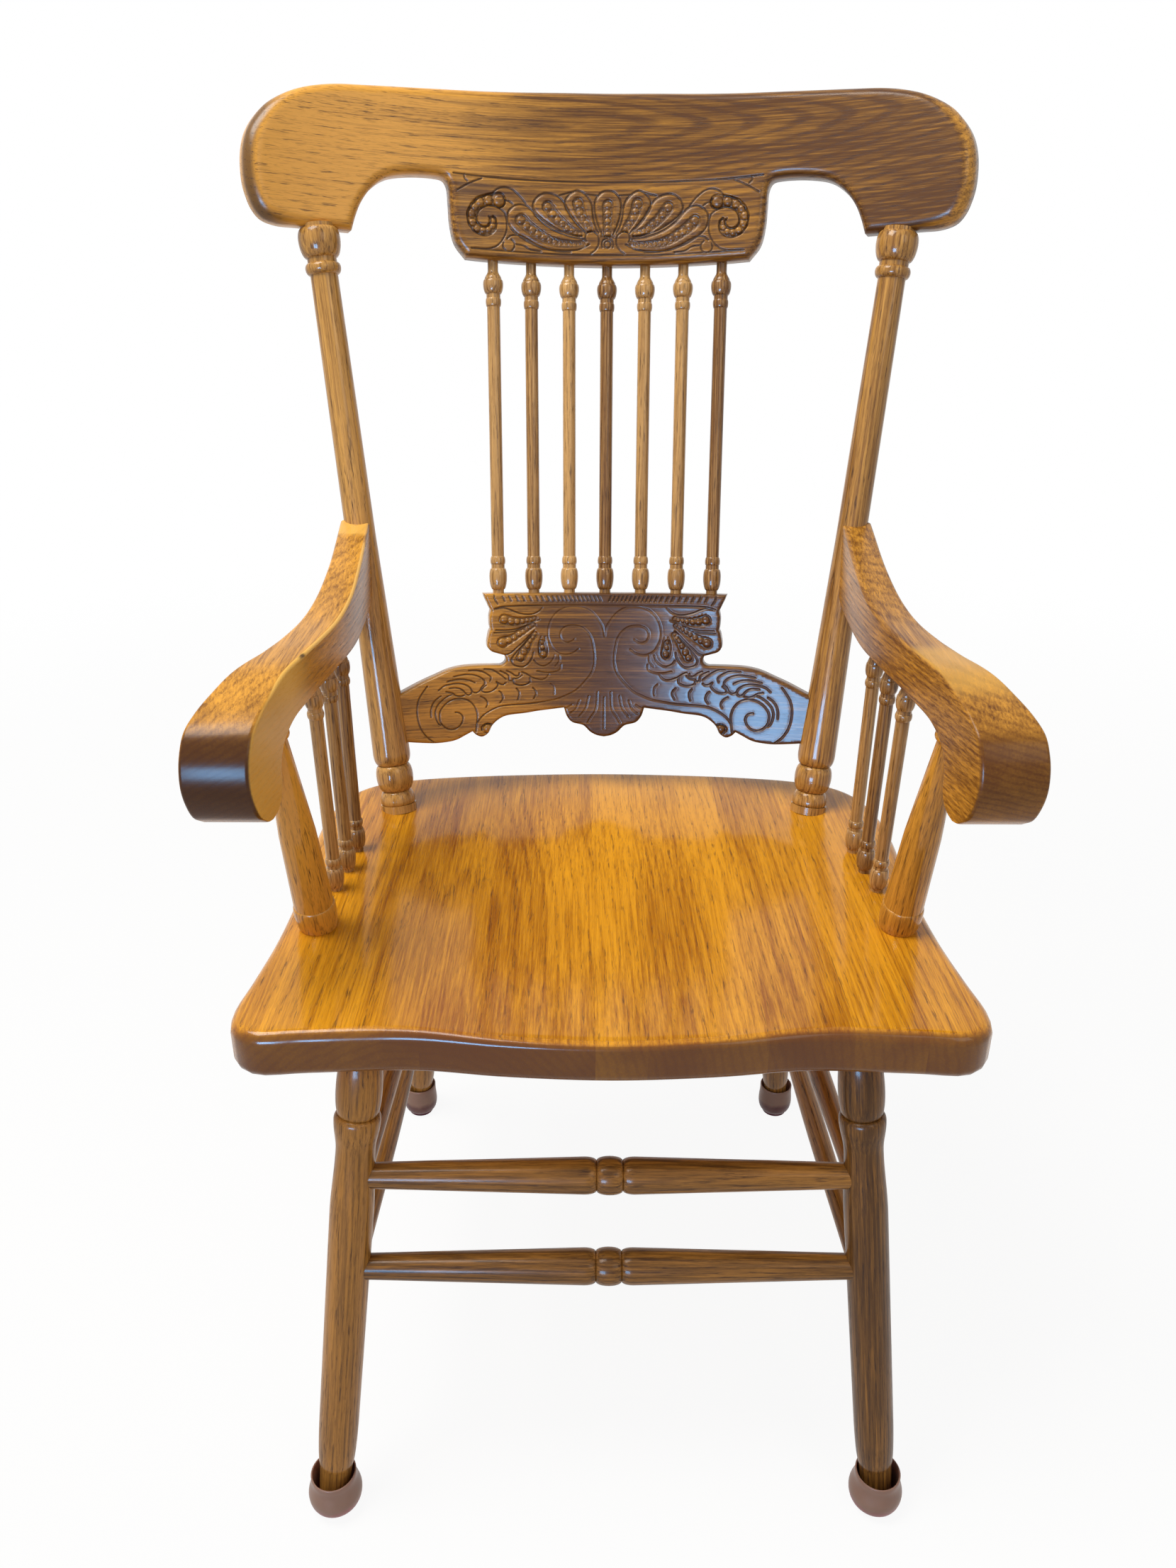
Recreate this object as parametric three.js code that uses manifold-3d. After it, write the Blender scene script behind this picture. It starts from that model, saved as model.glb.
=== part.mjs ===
// A captain's chair in oak: a pressed-back armchair with turned posts, spindles, legs and stretchers.
// Millimetres. x runs to the sitter's left, y to the back, z up, and the floor is at z = 0.
// The origin is on the floor under the middle of the chair's outer box.
import * as THREE from "three";
import { mergeVertices } from "three/addons/utils/BufferGeometryUtils.js";
import Module from "manifold-3d";

const wasm = await Module();
wasm.setup();

// Fits that every joint shares
const fit = 0.3; // gap between two pieces that touch
const overrun = 6; // how far a cutter reaches past the face it opens

// Seat: glued staves, scooped on top, with a rounded edge
const seatTop = 457;
const seatThickness = 38;
const seatHalfWidth = 272;
const seatFront = 216;
const seatBack = 235;
const seatTopRound = 9;
const seatUnderRound = 13;
const scoopDepth = 11;
const scoopHalfWidth = 225;
const scoopFront = 330;
const scoopBack = 205;
const scoopMiddle = -20;
const scoopLevelShare = 0.1; // how much of the scoop is level at its bottom

// Half of the seat's outline, from the middle of the front to the middle of the back:
// shares of the half width, and of the front or back depth
const seatOutlineShares = [
  [0, -1],
  [0.28, -0.982],
  [0.515, -0.949],
  [0.79, -0.963],
  [0.93, -0.97],
  [0.985, -0.915],
  [1, -0.82],
  [0.985, -0.65],
  [0.966, -0.4],
  [0.96, -0.1],
  [0.968, 0.15],
  [0.98, 0.38],
  [0.972, 0.58],
  [0.93, 0.76],
  [0.85, 0.865],
  [0.72, 0.925],
  [0.52, 0.965],
  [0.26, 0.99],
  [0, 1],
];
const seatRingShares = [0.3, 0.55, 0.75, 0.88];

// Legs: where their middle lines meet the floor and the underside of the seat
const frontFoot = { x: 226.3, y: -238.06 };
const frontLegTop = { x: 182.6, y: -175 };
const backFoot = { x: 216.3, y: 258.7 };
const backLegTop = { x: 170.44, y: 168.86 };
const legTenon = 22;
const legNeck = 13.5;
const legVase = 17.2;
const legWaist = 14.4;
const legRing = 17.6;
const legCollar = 14.8;
const legSwell = 16.8;
const legHeel = 15.9;
const legAnkle = 13.2;
const legEnd = 12.4;
const legVaseLength = 46;
const legVaseTop = 6.5;
const legRingLength = 5;
const legCollarLength = 26;
const legFallLength = 55;
const legHeelLength = 50;

// Slip-on feet: a soft upright cup round the end of the leg, with a felt pad under it
const capHeight = 35;
const capBase = 4.5;
const capWall = 1.5;
const capFlat = 15;
const capSlack = 3.4; // room round the ankle, in which the leg leans
const capBulgeShare = 0.38; // where the bulge is, up the cap
const capLipShare = 0.2; // how much of the run above the bulge is upright
const frontCapBulge = 21.8;
const backCapBulge = 19.3;
const padRadius = 13.8;
const padThickness = 3;

// Stretchers: heights where their middle lines meet the legs' middle lines
const upperFrontStretcherHeight = 313.5;
const lowerFrontStretcherHeight = 232.8;
const upperSideStretcherHeights = [285.5, 268];
const lowerSideStretcherHeights = [201.4, 192];
const backStretcherHeight = 240;
const stretcherTenon = 12;
const frontStretcherEnd = 9.8;
const frontStretcherSwell = 13.8;
const frontStretcherGroove = 11;
const frontStretcherBead = 14.3;
const frontStretcherBeadLength = 20;
const frontStretcherShoulder = 9;
const plainStretcherEnd = 8;
const plainStretcherMiddle = 9.6;

// The back leans by one angle; its two boards are bent to one radius, hollow to the sitter
const backRake = THREE.MathUtils.degToRad(10.8);
const bendRadius = 570;

// Back posts, measured up the lean from the seat
const postFoot = { x: 198, y: 149.5 };
const postTopSpread = 250.4;
const postFootTenon = 20;
const postFootTenonRadius = 9.5;
const postTopTenon = 22;
const postTopTenonRadius = 8;
const postFlange = 16.9;
const postFlangeHeight = 4.3;
const postRingFoot = 14.9;
const postRing = 16.1;
const postRingHeight = 13.4;
const postFootGroove = 12.4;
const postFootBall = 17.5;
const postFootBallHeight = 25.7;
const postShaftGroove = 13.4;
const postShaftFoot = 17.6;
const postShaftRound = 10.7;
const postShaftAtArm = 13.5;
const postArmShare = 0.47; // where that is along the shaft
const postShaftTop = 11.9;
const postBead = 15.3;
const postBeadHeight = 9.6;
const postTopGroove = 12.6;
const postTopGrooveHeight = 4;
const postTopBall = 17.9;
const postTopBallHeight = 24;
const postCrown = 14.6;

// Crest rail, with the pressed tab that hangs from it; heights are up the lean from the seat
const crestThickness = 25;
const crestRound = 7;
const crestHalfLength = 313.5;
const crestFoot = 515.5;
const crestHeight = 120.5;

// Half of the crest's outline along the board: share of the half length, then the lower and the
// upper edge as shares of the crest's height, where 0 is the foot of its end lobes
const crestOutlineShares = [
  [0, -0.165, 1],
  [0.128, -0.16, 1],
  [0.255, -0.15, 0.992],
  [0.351, -0.14, 0.985],
  [0.402, -0.132, 0.982],
  [0.432, -0.03, 0.98],
  [0.444, 0.11, 0.979],
  [0.447, 0.24, 0.979],
  [0.45, 0.36, 0.979],
  [0.458, 0.398, 0.978],
  [0.482, 0.41, 0.976],
  [0.564, 0.404, 0.967],
  [0.622, 0.37, 0.96],
  [0.664, 0.29, 0.953],
  [0.693, 0.19, 0.949],
  [0.709, 0.1, 0.945],
  [0.722, 0, 0.942],
  [0.756, 0, 0.934],
  [0.829, 0, 0.892],
  [0.885, 0, 0.835],
  [0.931, 0, 0.76],
  [0.957, 0.03, 0.69],
  [0.978, 0.09, 0.61],
  [0.991, 0.17, 0.53],
  [1, 0.27, 0.42],
];

// Lower splat, a pressed board between the posts
const splatThickness = 18;
const splatFoot = 63.7;
const splatHeight = 139.3;
const splatHalfLength = 200;
const splatTenonRise = 0.17; // the middle of each end tenon, as a share of the splat's height
const splatTenonReach = 10;
const splatTenonThickness = 9;
const splatTenonHeight = 34;

// Halves of the three forms that the splat is made of, in the same shares as the crest
const splatWingShares = [
  [0, 0, 0.52],
  [0.055, 0.02, 0.52],
  [0.075, 0.07, 0.52],
  [0.155, 0.1, 0.52],
  [0.178, 0.145, 0.52],
  [0.195, 0.209, 0.52],
  [0.325, 0.184, 0.52],
  [0.475, 0.159, 0.52],
  [0.504, 0.147, 0.511],
  [0.5225, 0.124, 0.511],
  [0.5425, 0.094, 0.512],
  [0.5625, 0.038, 0.512],
  [0.575, 0.021, 0.512],
  [0.5935, 0.0145, 0.511],
  [0.61, 0.019, 0.51],
  [0.6225, 0.031, 0.509],
  [0.64, 0.056, 0.508],
  [0.6775, 0.029, 0.505],
  [0.71, 0.004, 0.495],
  [0.74, -0.0086, 0.488],
  [0.81, -0.016, 0.448],
  [0.875, -0.009, 0.408],
  [0.955, 0.004, 0.352],
  [1, 0.013, 0.322],
];
const splatPanelShares = [
  [0, 0.45, 0.9],
  [0.455, 0.45, 0.9],
  [0.472, 0.555, 0.9],
  [0.4785, 0.581, 0.9],
  [0.5275, 0.6, 0.9],
  [0.5415, 0.608, 0.9],
  [0.5485, 0.615, 0.865],
  [0.551, 0.618, 0.757],
  [0.56, 0.633, 0.7],
];
const splatLipShares = [
  [0, 0.88, 1],
  [0.5415, 0.893, 1],
  [0.5545, 0.932, 1],
  [0.574, 0.985, 1],
];
const boardStationSpacing = 34;

// Back spindles, between the splat and the tab
const backSpindleCount = 7;
const backSpindleFootSpacing = 33.4;
const backSpindleTopSpacing = 34;
const backSpindleTenon = 10;
const vaseRoundShare = 0.62; // how much of a spindle's top vase is its round upper end
const backSpindle = {
  footNeck: 5.3,
  footNeckLength: 3,
  footBulb: 8.3,
  footBulbLength: 20,
  fillet: 6.3,
  filletLength: 3.6,
  ring: 7,
  ringLength: 7.4,
  shaft: 5.9,
  topVase: 9,
  topVaseEnd: 7.7,
  topVaseLength: 20,
  topNeck: 4.7,
  topNeckLength: 7.5,
};

// Arms: how high they start on the posts, how far they reach, and how wide they stand
const armHeight = 266;
const armStart = 188;
const armNose = -168;
const armSpread = 228;
const armWidth = 42;
const armEdge = 3;
const armEdgeShare = 0.33; // the most of the arm's height that one rounded edge takes

// The arm's profile from the post to the scroll: its top line, then its under line, as shares of
// the reach and of the height
const armProfileShares = [
  [-0.006, 1, 0.0225, 0.767],
  [0.107, 0.966, 0.081, 0.744],
  [0.236, 0.925, 0.219, 0.733],
  [0.36, 0.887, 0.36, 0.7256],
  [0.483, 0.865, 0.483, 0.7275],
  [0.612, 0.861, 0.612, 0.7275],
  [0.697, 0.861, 0.697, 0.722],
  [0.803, 0.853, 0.767, 0.7124],
  [0.879, 0.823, 0.8005, 0.699],
  [0.93, 0.797, 0.826, 0.68],
  [0.969, 0.767, 0.8455, 0.658],
  [0.9915, 0.7256, 0.858, 0.628],
  [1.003, 0.684, 0.864, 0.59],
  [1.006, 0.635, 0.8666, 0.556],
  [0.997, 0.586, 0.878, 0.526],
  [0.9775, 0.5376, 0.896, 0.5075],
  [0.949, 0.5075, 0.9185, 0.5],
];

// The arm seen from above: share of the reach, then its middle line and its width as shares
const armPlanShares = [
  [-0.006, 1, 0.63],
  [0.236, 0.98, 0.64],
  [0.354, 0.981, 0.726],
  [0.483, 0.996, 0.714],
  [0.64, 1.022, 0.714],
  [0.733, 1.052, 0.75],
  [0.803, 1.088, 0.952],
  [0.879, 1.114, 1],
  [0.9775, 1.156, 1.143],
  [1.006, 1.162, 1.12],
];

// Arm posts and arm spindles: feet on the seat, and where along the arm their tops enter
const armPostFoot = { x: 232, y: -67, topShare: 0.8, topInset: 4 };
const frontSpindleFoot = { x: 229, y: -8, topShare: 0.579 };
const middleSpindleFoot = { x: 225, y: 25, topShare: 0.472 };
const backSpindleFoot = { x: 223, y: 62, topShare: 0.357 };
const armSpindleFeet = {
  front: frontSpindleFoot,
  middle: middleSpindleFoot,
  back: backSpindleFoot,
};
const armPostTenon = 16;
const armPostTenonRadius = 8;
const armPostTopTenonRadius = 4.8;
const armPostFootRing = 13.9;
const armPostBase = 16.5;
const armPostBaseHeight = 24;
const armPostShaftFoot = 15.6;
const armPostShaftMiddle = 14;
const armPostShaftTop = 8.6;
const armPostBead = 9.3;
const armPostBeadHeight = 8;
const armPostMiddleShare = 0.45; // where the shaft's middle size is measured
const armSpindleTenon = 12;
const armSpindle = {
  footNeck: 5,
  footNeckLength: 3,
  footBulb: 7.7,
  footBulbLength: 19,
  fillet: 5.8,
  filletLength: 3.2,
  ring: 6.7,
  ringLength: 6.2,
  shaft: 5.5,
  topVase: 7.6,
  topVaseEnd: 6.5,
  topVaseLength: 19,
  topNeck: 4.6,
  topNeckLength: 6,
};

// The round tenon at the back of each arm, in its post
const armTenonRise = 0.88;
const armTenonRadius = 7;
const armTenon = 11;
const armTenonRoot = 14;

// How finely round and bent shapes are cut into flats
const seatSides = 52;
const postSides = 12;
const legSides = 12;
const spindleSides = 8;
const capSides = 14;
const boreSides = 10;

// Points closer together than this are one point, and places along a board likewise
const weld = 1e-4;
const samePlaceShare = 1e-9;

const oak = { color: 0xb98542, roughness: 0.35, metalness: 0 };
const palerOak = { color: 0xc79a58, roughness: 0.35, metalness: 0 };
const amberOak = { color: 0xb06f26, roughness: 0.28, metalness: 0 };
const brownOak = { color: 0x8f5f30, roughness: 0.35, metalness: 0 };
const silicone = { color: 0x9a7f78, roughness: 0.5, metalness: 0 };
const felt = { color: 0x5d1822, roughness: 0.95, metalness: 0 };

const up = new THREE.Vector3(0, 0, 1);

// Solids: a closed geometry goes to the boolean library and comes back
function solidOf(geometry) {
  const plain = geometry.clone();
  plain.deleteAttribute("normal");
  plain.deleteAttribute("uv");
  const merged = mergeVertices(plain, weld);
  const index = merged.index.array;
  const triangles = [];
  for (let i = 0; i < index.length; i += 3) {
    const [a, b, c] = index.slice(i, i + 3);
    if (a !== b && b !== c && c !== a) triangles.push(a, b, c);
  }
  return new wasm.Manifold(
    new wasm.Mesh({
      numProp: 3,
      vertProperties: merged.attributes.position.array,
      triVerts: new Uint32Array(triangles),
    }),
  );
}

function geometryOf(solid) {
  const mesh = solid.getMesh();
  const geometry = new THREE.BufferGeometry();
  geometry.setAttribute("position", new THREE.BufferAttribute(mesh.vertProperties, 3));
  geometry.setIndex(new THREE.BufferAttribute(mesh.triVerts, 1));
  geometry.computeVertexNormals();
  return geometry;
}

function join(geometries) {
  return geometryOf(geometries.map(solidOf).reduce((whole, next) => whole.add(next)));
}

function cut(geometry, cutters) {
  return geometryOf(cutters.reduce((left, next) => left.subtract(solidOf(next)), solidOf(geometry)));
}

// A turned piece: its outline is drawn from its foot along its middle line
class Turning {
  constructor(radius) {
    this.length = 0;
    this.radius = radius;
    this.points = [new THREE.Vector2(0, 0), new THREE.Vector2(radius, 0)];
  }
  add(length, radius) {
    this.points.push(new THREE.Vector2(radius, length));
  }
  // A straight run or a step to a new radius
  to(length, radius = this.radius) {
    this.length += length;
    this.radius = radius;
    this.add(this.length, radius);
    return this;
  }
  // A half-round ring or ball that stands out to a peak and comes back to an end radius
  bead(length, peak, end = this.radius, steps = 4) {
    const start = this.radius;
    for (let i = 1; i <= steps; i++) {
      const turn = (Math.PI * i) / steps;
      const along = (1 - Math.cos(turn)) / 2;
      const chord = THREE.MathUtils.lerp(start, end, along);
      const bulge = peak - THREE.MathUtils.lerp(start, end, 0.5);
      this.add(this.length + length * along, chord + bulge * Math.sin(turn));
    }
    this.length += length;
    this.radius = end;
    return this;
  }
  // A soft curve from one radius to the next
  flow(length, radius, steps = 3) {
    const start = this.radius;
    for (let i = 1; i <= steps; i++) {
      const share = i / steps;
      const eased = (1 - Math.cos(Math.PI * share)) / 2;
      this.add(this.length + length * share, THREE.MathUtils.lerp(start, radius, eased));
    }
    this.length += length;
    this.radius = radius;
    return this;
  }
  // A quarter round that opens out from a small radius
  open(length, radius, steps = 2) {
    const start = this.radius;
    for (let i = 1; i <= steps; i++) {
      const turn = (Math.PI / 2) * (i / steps);
      const out = THREE.MathUtils.lerp(start, radius, Math.sin(turn));
      this.add(this.length + length * (1 - Math.cos(turn)), out);
    }
    this.length += length;
    this.radius = radius;
    return this;
  }
  // A quarter round that closes in to a small radius
  close(length, radius, steps = 2) {
    const start = this.radius;
    for (let i = 1; i <= steps; i++) {
      const turn = (Math.PI / 2) * (i / steps);
      const inward = THREE.MathUtils.lerp(radius, start, Math.cos(turn));
      this.add(this.length + length * Math.sin(turn), inward);
    }
    this.length += length;
    this.radius = radius;
    return this;
  }
  // The solid, with its middle line on +z
  lathe(sides) {
    const outline = [...this.points, new THREE.Vector2(0, this.length)];
    return new THREE.LatheGeometry(outline, sides).rotateX(Math.PI / 2);
  }
}

// The turn and place that carry +z from one point towards another
function towards(from, to) {
  const direction = new THREE.Vector3().subVectors(to, from).normalize();
  const turn = new THREE.Quaternion().setFromUnitVectors(up, direction);
  return new THREE.Matrix4().compose(from, turn, new THREE.Vector3(1, 1, 1));
}

function partway(from, to, distance) {
  const direction = new THREE.Vector3().subVectors(to, from).normalize();
  return from.clone().addScaledVector(direction, distance);
}

// The radius of a many-sided hole that leaves the fit at the middle of each flat
function clear(radius, count) {
  return (radius + fit) / Math.cos(Math.PI / count);
}

// A round hole for a tenon: it runs back out of the face by the overrun
function bore(face, inwards, radius, depth) {
  const start = partway(face, inwards, -overrun);
  const hole = new Turning(clear(radius, boreSides)).to(overrun + depth + fit).lathe(boreSides);
  return hole.applyMatrix4(towards(start, inwards));
}

const chair = new THREE.Group();

function addPiece(name, geometry, material, matrix = new THREE.Matrix4()) {
  const mesh = new THREE.Mesh(geometry, new THREE.MeshStandardMaterial(material));
  mesh.name = name;
  matrix.decompose(mesh.position, mesh.quaternion, mesh.scale);
  mesh.updateMatrix();
  chair.add(mesh);
  return mesh;
}

// Cuts that are placed in the chair's frame, made in a placed piece
function cutPiece(mesh, cutters) {
  const inverse = mesh.matrix.clone().invert();
  mesh.geometry = cut(
    mesh.geometry,
    cutters.map((cutter) => cutter.clone().applyMatrix4(inverse)),
  );
}

const sides = [
  { name: "left", sign: 1 },
  { name: "right", sign: -1 },
];

function place(point, sign, z) {
  return new THREE.Vector3(sign * point.x, point.y, z);
}

// How deep the seat is scooped at a point
function scoop(x, y) {
  const reach = y < scoopMiddle ? scoopFront : scoopBack;
  const away = Math.hypot(x / scoopHalfWidth, (y - scoopMiddle) / reach);
  return scoopDepth * (1 - THREE.MathUtils.smoothstep(away, scoopLevelShare, 1));
}

// A disc is turned with the seat's edge, then its rings are drawn out to the seat's outline
function seatGeometry() {
  const half = seatOutlineShares.map(
    ([x, y]) => new THREE.Vector3(x * seatHalfWidth, y * (y < 0 ? seatFront : seatBack), 0),
  );
  const mirrored = half
    .slice(1, -1)
    .reverse()
    .map((point) => new THREE.Vector3(-point.x, point.y, 0));
  const outline = new THREE.CatmullRomCurve3([...half, ...mirrored], true);
  const rows = [{ share: 0, inset: 0, z: seatTop - seatThickness }];
  const underTurns = [0, 0.5, 1];
  for (const share of underTurns) {
    const turn = (Math.PI / 2) * share;
    rows.push({
      share: 1,
      inset: seatUnderRound * (1 - Math.sin(turn)),
      z: seatTop - seatThickness + seatUnderRound * (1 - Math.cos(turn)),
    });
  }
  for (const share of underTurns) {
    const turn = (Math.PI / 2) * share;
    rows.push({
      share: 1,
      inset: seatTopRound * (1 - Math.cos(turn)),
      z: seatTop - seatTopRound * (1 - Math.sin(turn)),
      scooped: share,
    });
  }
  for (const share of [...seatRingShares].reverse()) {
    rows.push({ share, inset: 0, z: seatTop, scooped: 1 });
  }
  rows.push({ share: 0, inset: 0, z: seatTop, scooped: 1 });
  const profile = rows.map((row, i) => {
    const onAxis = i === 0 || i === rows.length - 1;
    return new THREE.Vector2(onAxis ? 0 : seatHalfWidth * row.share, row.z);
  });
  const disc = new THREE.LatheGeometry(profile, seatSides, Math.PI).rotateX(Math.PI / 2);
  const position = disc.attributes.position;
  for (let i = 0; i < position.count; i++) {
    const column = Math.floor(i / rows.length);
    const row = rows[i % rows.length];
    const along = (column % seatSides) / seatSides;
    const edge = outline.getPointAt(along);
    const tangent = outline.getTangentAt(along);
    const x = (edge.x - tangent.y * row.inset) * row.share;
    const y = (edge.y + tangent.x * row.inset) * row.share;
    const lowered = row.scooped ? row.scooped * scoop(x, y) : 0;
    position.setXYZ(i, x, y, row.z - lowered);
  }
  return disc;
}

// Above its cap a leg rounds out, swells slowly, and falls in below the ring and the vase
function legGeometry(length) {
  const plain = capHeight + legHeelLength;
  const turned = legFallLength + legCollarLength + legRingLength + legVaseLength + legVaseTop;
  return new Turning(legEnd)
    .to(capHeight, legAnkle)
    .open(legHeelLength, legHeel)
    .to(length - plain - turned - legTenon, legSwell)
    .flow(legFallLength, legCollar, 2)
    .flow(legCollarLength, legRing, 2)
    .close(legRingLength, legWaist, 1)
    .bead(legVaseLength, legVase, legNeck, 5)
    .to(legVaseTop + legTenon)
    .lathe(legSides);
}

// A cap is a soft cup that stands upright on its pad, while the leg leans in it
const capInner = legAnkle + capSlack + fit;

function capGeometry(bulge) {
  const corner = 1 / Math.cos(Math.PI / capSides);
  const rim = (capInner + capWall) * corner;
  const belly = capHeight * capBulgeShare;
  const lip = (capHeight - belly) * capLipShare;
  const cup = new Turning(capFlat)
    .open(belly, bulge, 3)
    .flow(capHeight - belly - lip, rim, 3)
    .to(lip)
    .lathe(capSides);
  const hollow = new Turning(capInner * corner).to(capHeight).lathe(capSides);
  return cut(cup, [hollow.translate(0, 0, capBase)]);
}

// The leg's end rests on the floor of its cap, and its side lies against the rim that it leans to
function leg(name, foot, top, bulge) {
  const lean = new THREE.Vector3().subVectors(top, foot).angleTo(up);
  const floor = padThickness + fit + capBase;
  const endHeight = floor + fit + legEnd * Math.sin(lean);
  const end = new THREE.Vector3().lerpVectors(foot, top, endHeight / top.z);
  const turned = legGeometry(end.distanceTo(top) + legTenon);
  const mesh = addPiece(`${name}_leg`, turned, palerOak, towards(end, top));
  const rimHeight = padThickness + fit + capHeight;
  const leeway = capInner - fit - legAnkle / Math.cos(lean);
  const middleHeight = rimHeight - leeway / Math.tan(lean);
  const cupMiddle = new THREE.Vector3().lerpVectors(foot, top, middleHeight / top.z).setZ(0);
  const onPad = cupMiddle.clone().setZ(padThickness + fit);
  addPiece(`${name}_leg_cap`, capGeometry(bulge), silicone, new THREE.Matrix4().setPosition(onPad));
  const pad = new Turning(padRadius).to(padThickness).lathe(capSides);
  addPiece(`${name}_felt_pad`, pad, felt, new THREE.Matrix4().setPosition(cupMiddle));
  return { mesh, foot, top };
}

// The point of a leg's middle line at a height
function legAt(legPiece, height) {
  const share = height / legPiece.top.z;
  return new THREE.Vector3().lerpVectors(legPiece.foot, legPiece.top, share);
}

// How far a leg's surface stands from its middle line where a stretcher enters
const legFace = legSwell;

function beadedStretcher(length) {
  const half = (length - frontStretcherBeadLength) / 2 - frontStretcherShoulder - stretcherTenon;
  return new Turning(frontStretcherEnd)
    .to(stretcherTenon)
    .to(half, frontStretcherSwell)
    .close(frontStretcherShoulder, frontStretcherGroove, 3)
    .bead(frontStretcherBeadLength, frontStretcherBead, frontStretcherGroove, 4)
    .open(frontStretcherShoulder, frontStretcherSwell, 3)
    .to(half, frontStretcherEnd)
    .to(stretcherTenon)
    .lathe(legSides);
}

function plainStretcher(length) {
  const half = length / 2 - stretcherTenon;
  return new Turning(plainStretcherEnd)
    .to(stretcherTenon)
    .flow(half, plainStretcherMiddle, 3)
    .flow(half, plainStretcherEnd, 3)
    .to(stretcherTenon)
    .lathe(spindleSides);
}

// A stretcher's ends run straight into holes in the legs, without a shoulder
function stretcher(name, shape, radius, fromLeg, toLeg, [fromHeight, toHeight]) {
  const from = legAt(fromLeg, fromHeight);
  const to = legAt(toLeg, toHeight);
  const start = partway(from, to, legFace - stretcherTenon);
  const end = partway(to, from, legFace - stretcherTenon);
  addPiece(name, shape(start.distanceTo(end)), oak, towards(start, end));
  cutPiece(fromLeg.mesh, [bore(partway(from, to, legFace), from, radius, stretcherTenon)]);
  cutPiece(toLeg.mesh, [bore(partway(to, from, legFace), to, radius, stretcherTenon)]);
}

// The back's own frame: along the back, up its lean from the seat, and square back from it
const backUp = new THREE.Vector3(0, Math.sin(backRake), Math.cos(backRake));
const backOut = new THREE.Vector3(0, Math.cos(backRake), -Math.sin(backRake));

function onBack(along, height, depth) {
  return new THREE.Vector3(along, postFoot.y, seatTop)
    .addScaledVector(backUp, height)
    .addScaledVector(backOut, depth);
}

function postSpreadAt(height) {
  return THREE.MathUtils.lerp(postFoot.x, postTopSpread, height / crestFoot);
}

function postAt(sign, height) {
  return onBack(sign * postSpreadAt(height), height, 0);
}

// How far a bent board's face falls towards the sitter at a distance from the middle
function sag(along) {
  return bendRadius - Math.sqrt(bendRadius ** 2 - along ** 2);
}

// Depth of each board's front face at its middle, so that the posts meet its mid thickness
const crestFace = sag(postTopSpread) - crestThickness / 2;
const splatMidHeight = splatFoot + splatHeight * splatTenonRise;
const splatFace = sag(postSpreadAt(splatMidHeight)) - splatThickness / 2;

// A point of a bent board: along its front face, up the lean, and deep into it
function onBoard(faceDepth, along, height, deep) {
  const angle = along / bendRadius;
  const radius = bendRadius + deep;
  return onBack(radius * Math.sin(angle), height, faceDepth - bendRadius + radius * Math.cos(angle));
}

// A closed skin over a row of outlines that all have the same number of points
function skin(sections) {
  const around = sections[0].length;
  const points = sections.flat();
  const triangles = [];
  for (let i = 0; i < sections.length - 1; i++) {
    for (let j = 0; j < around; j++) {
      const a = i * around + j;
      const b = i * around + ((j + 1) % around);
      triangles.push(a, b, a + around, b, b + around, a + around);
    }
  }
  const last = (sections.length - 1) * around;
  for (let j = 1; j < around - 1; j++) {
    triangles.push(0, j + 1, j, last, last + j, last + j + 1);
  }
  const geometry = new THREE.BufferGeometry().setFromPoints(points);
  geometry.setIndex(triangles);
  return geometry;
}

// A rectangle with rounded corners, as pairs of shares that run round it
function roundedRectangle(width, height, radius, steps) {
  const round = Math.min(radius, width / 2, height / 2);
  const corners = [
    [width - round, height - round, 0],
    [round, height - round, 1],
    [round, round, 2],
    [width - round, round, 3],
  ];
  return corners.flatMap(([x, y, quarter]) =>
    Array.from({ length: steps + 1 }, (_, i) => {
      const turn = (Math.PI / 2) * (quarter + i / steps);
      return [x + round * Math.cos(turn), y + round * Math.sin(turn)];
    }),
  );
}

// Reads a table of rows at a place between them
function readTable(rows, at) {
  const next = Math.max(
    1,
    rows.findIndex(([share]) => share >= at),
  );
  const [before, after] = [rows[next - 1], rows[next]];
  const share = (at - before[0]) / (after[0] - before[0]);
  return before.map((value, i) => THREE.MathUtils.lerp(value, after[i], share));
}

// One form of a bent board: rows of its lower and upper edge are skinned from end to end
function boardForm(rows, stations, halfLength, foot, height, thickness, face, round) {
  const reach = rows[rows.length - 1][0];
  const inside = stations.filter((share) => share <= reach + samePlaceShare);
  const both = [...inside.filter((share) => share > 0).map((share) => -share).reverse(), ...inside];
  const steps = round > 0 ? 1 : 0;
  const sections = both.map((share) => {
    const [, low, high] = readTable(rows, Math.abs(share));
    const tall = (high - low) * height;
    const ring = steps
      ? roundedRectangle(thickness, tall, round, steps)
      : [
          [thickness, tall],
          [0, tall],
          [0, 0],
          [thickness, 0],
        ];
    return ring.map(([deep, rise]) =>
      onBoard(face, share * halfLength, foot + low * height + rise, deep),
    );
  });
  return skin(sections);
}

// Every place along a board where one of its forms turns, with none too far from the next
function boardStations(tables, halfLength) {
  const turns = [...new Set(tables.flat().map(([share]) => share))].sort((a, b) => a - b);
  const stations = [];
  turns.forEach((share, i) => {
    stations.push(share);
    const next = turns[i + 1] ?? share;
    const extra = Math.floor(((next - share) * halfLength) / boardStationSpacing);
    for (let k = 1; k <= extra; k++) {
      stations.push(THREE.MathUtils.lerp(share, next, k / (extra + 1)));
    }
  });
  return stations;
}

function crestGeometry() {
  const stations = boardStations([crestOutlineShares], crestHalfLength);
  return boardForm(
    crestOutlineShares,
    stations,
    crestHalfLength,
    crestFoot,
    crestHeight,
    crestThickness,
    crestFace,
    crestRound,
  );
}

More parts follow.
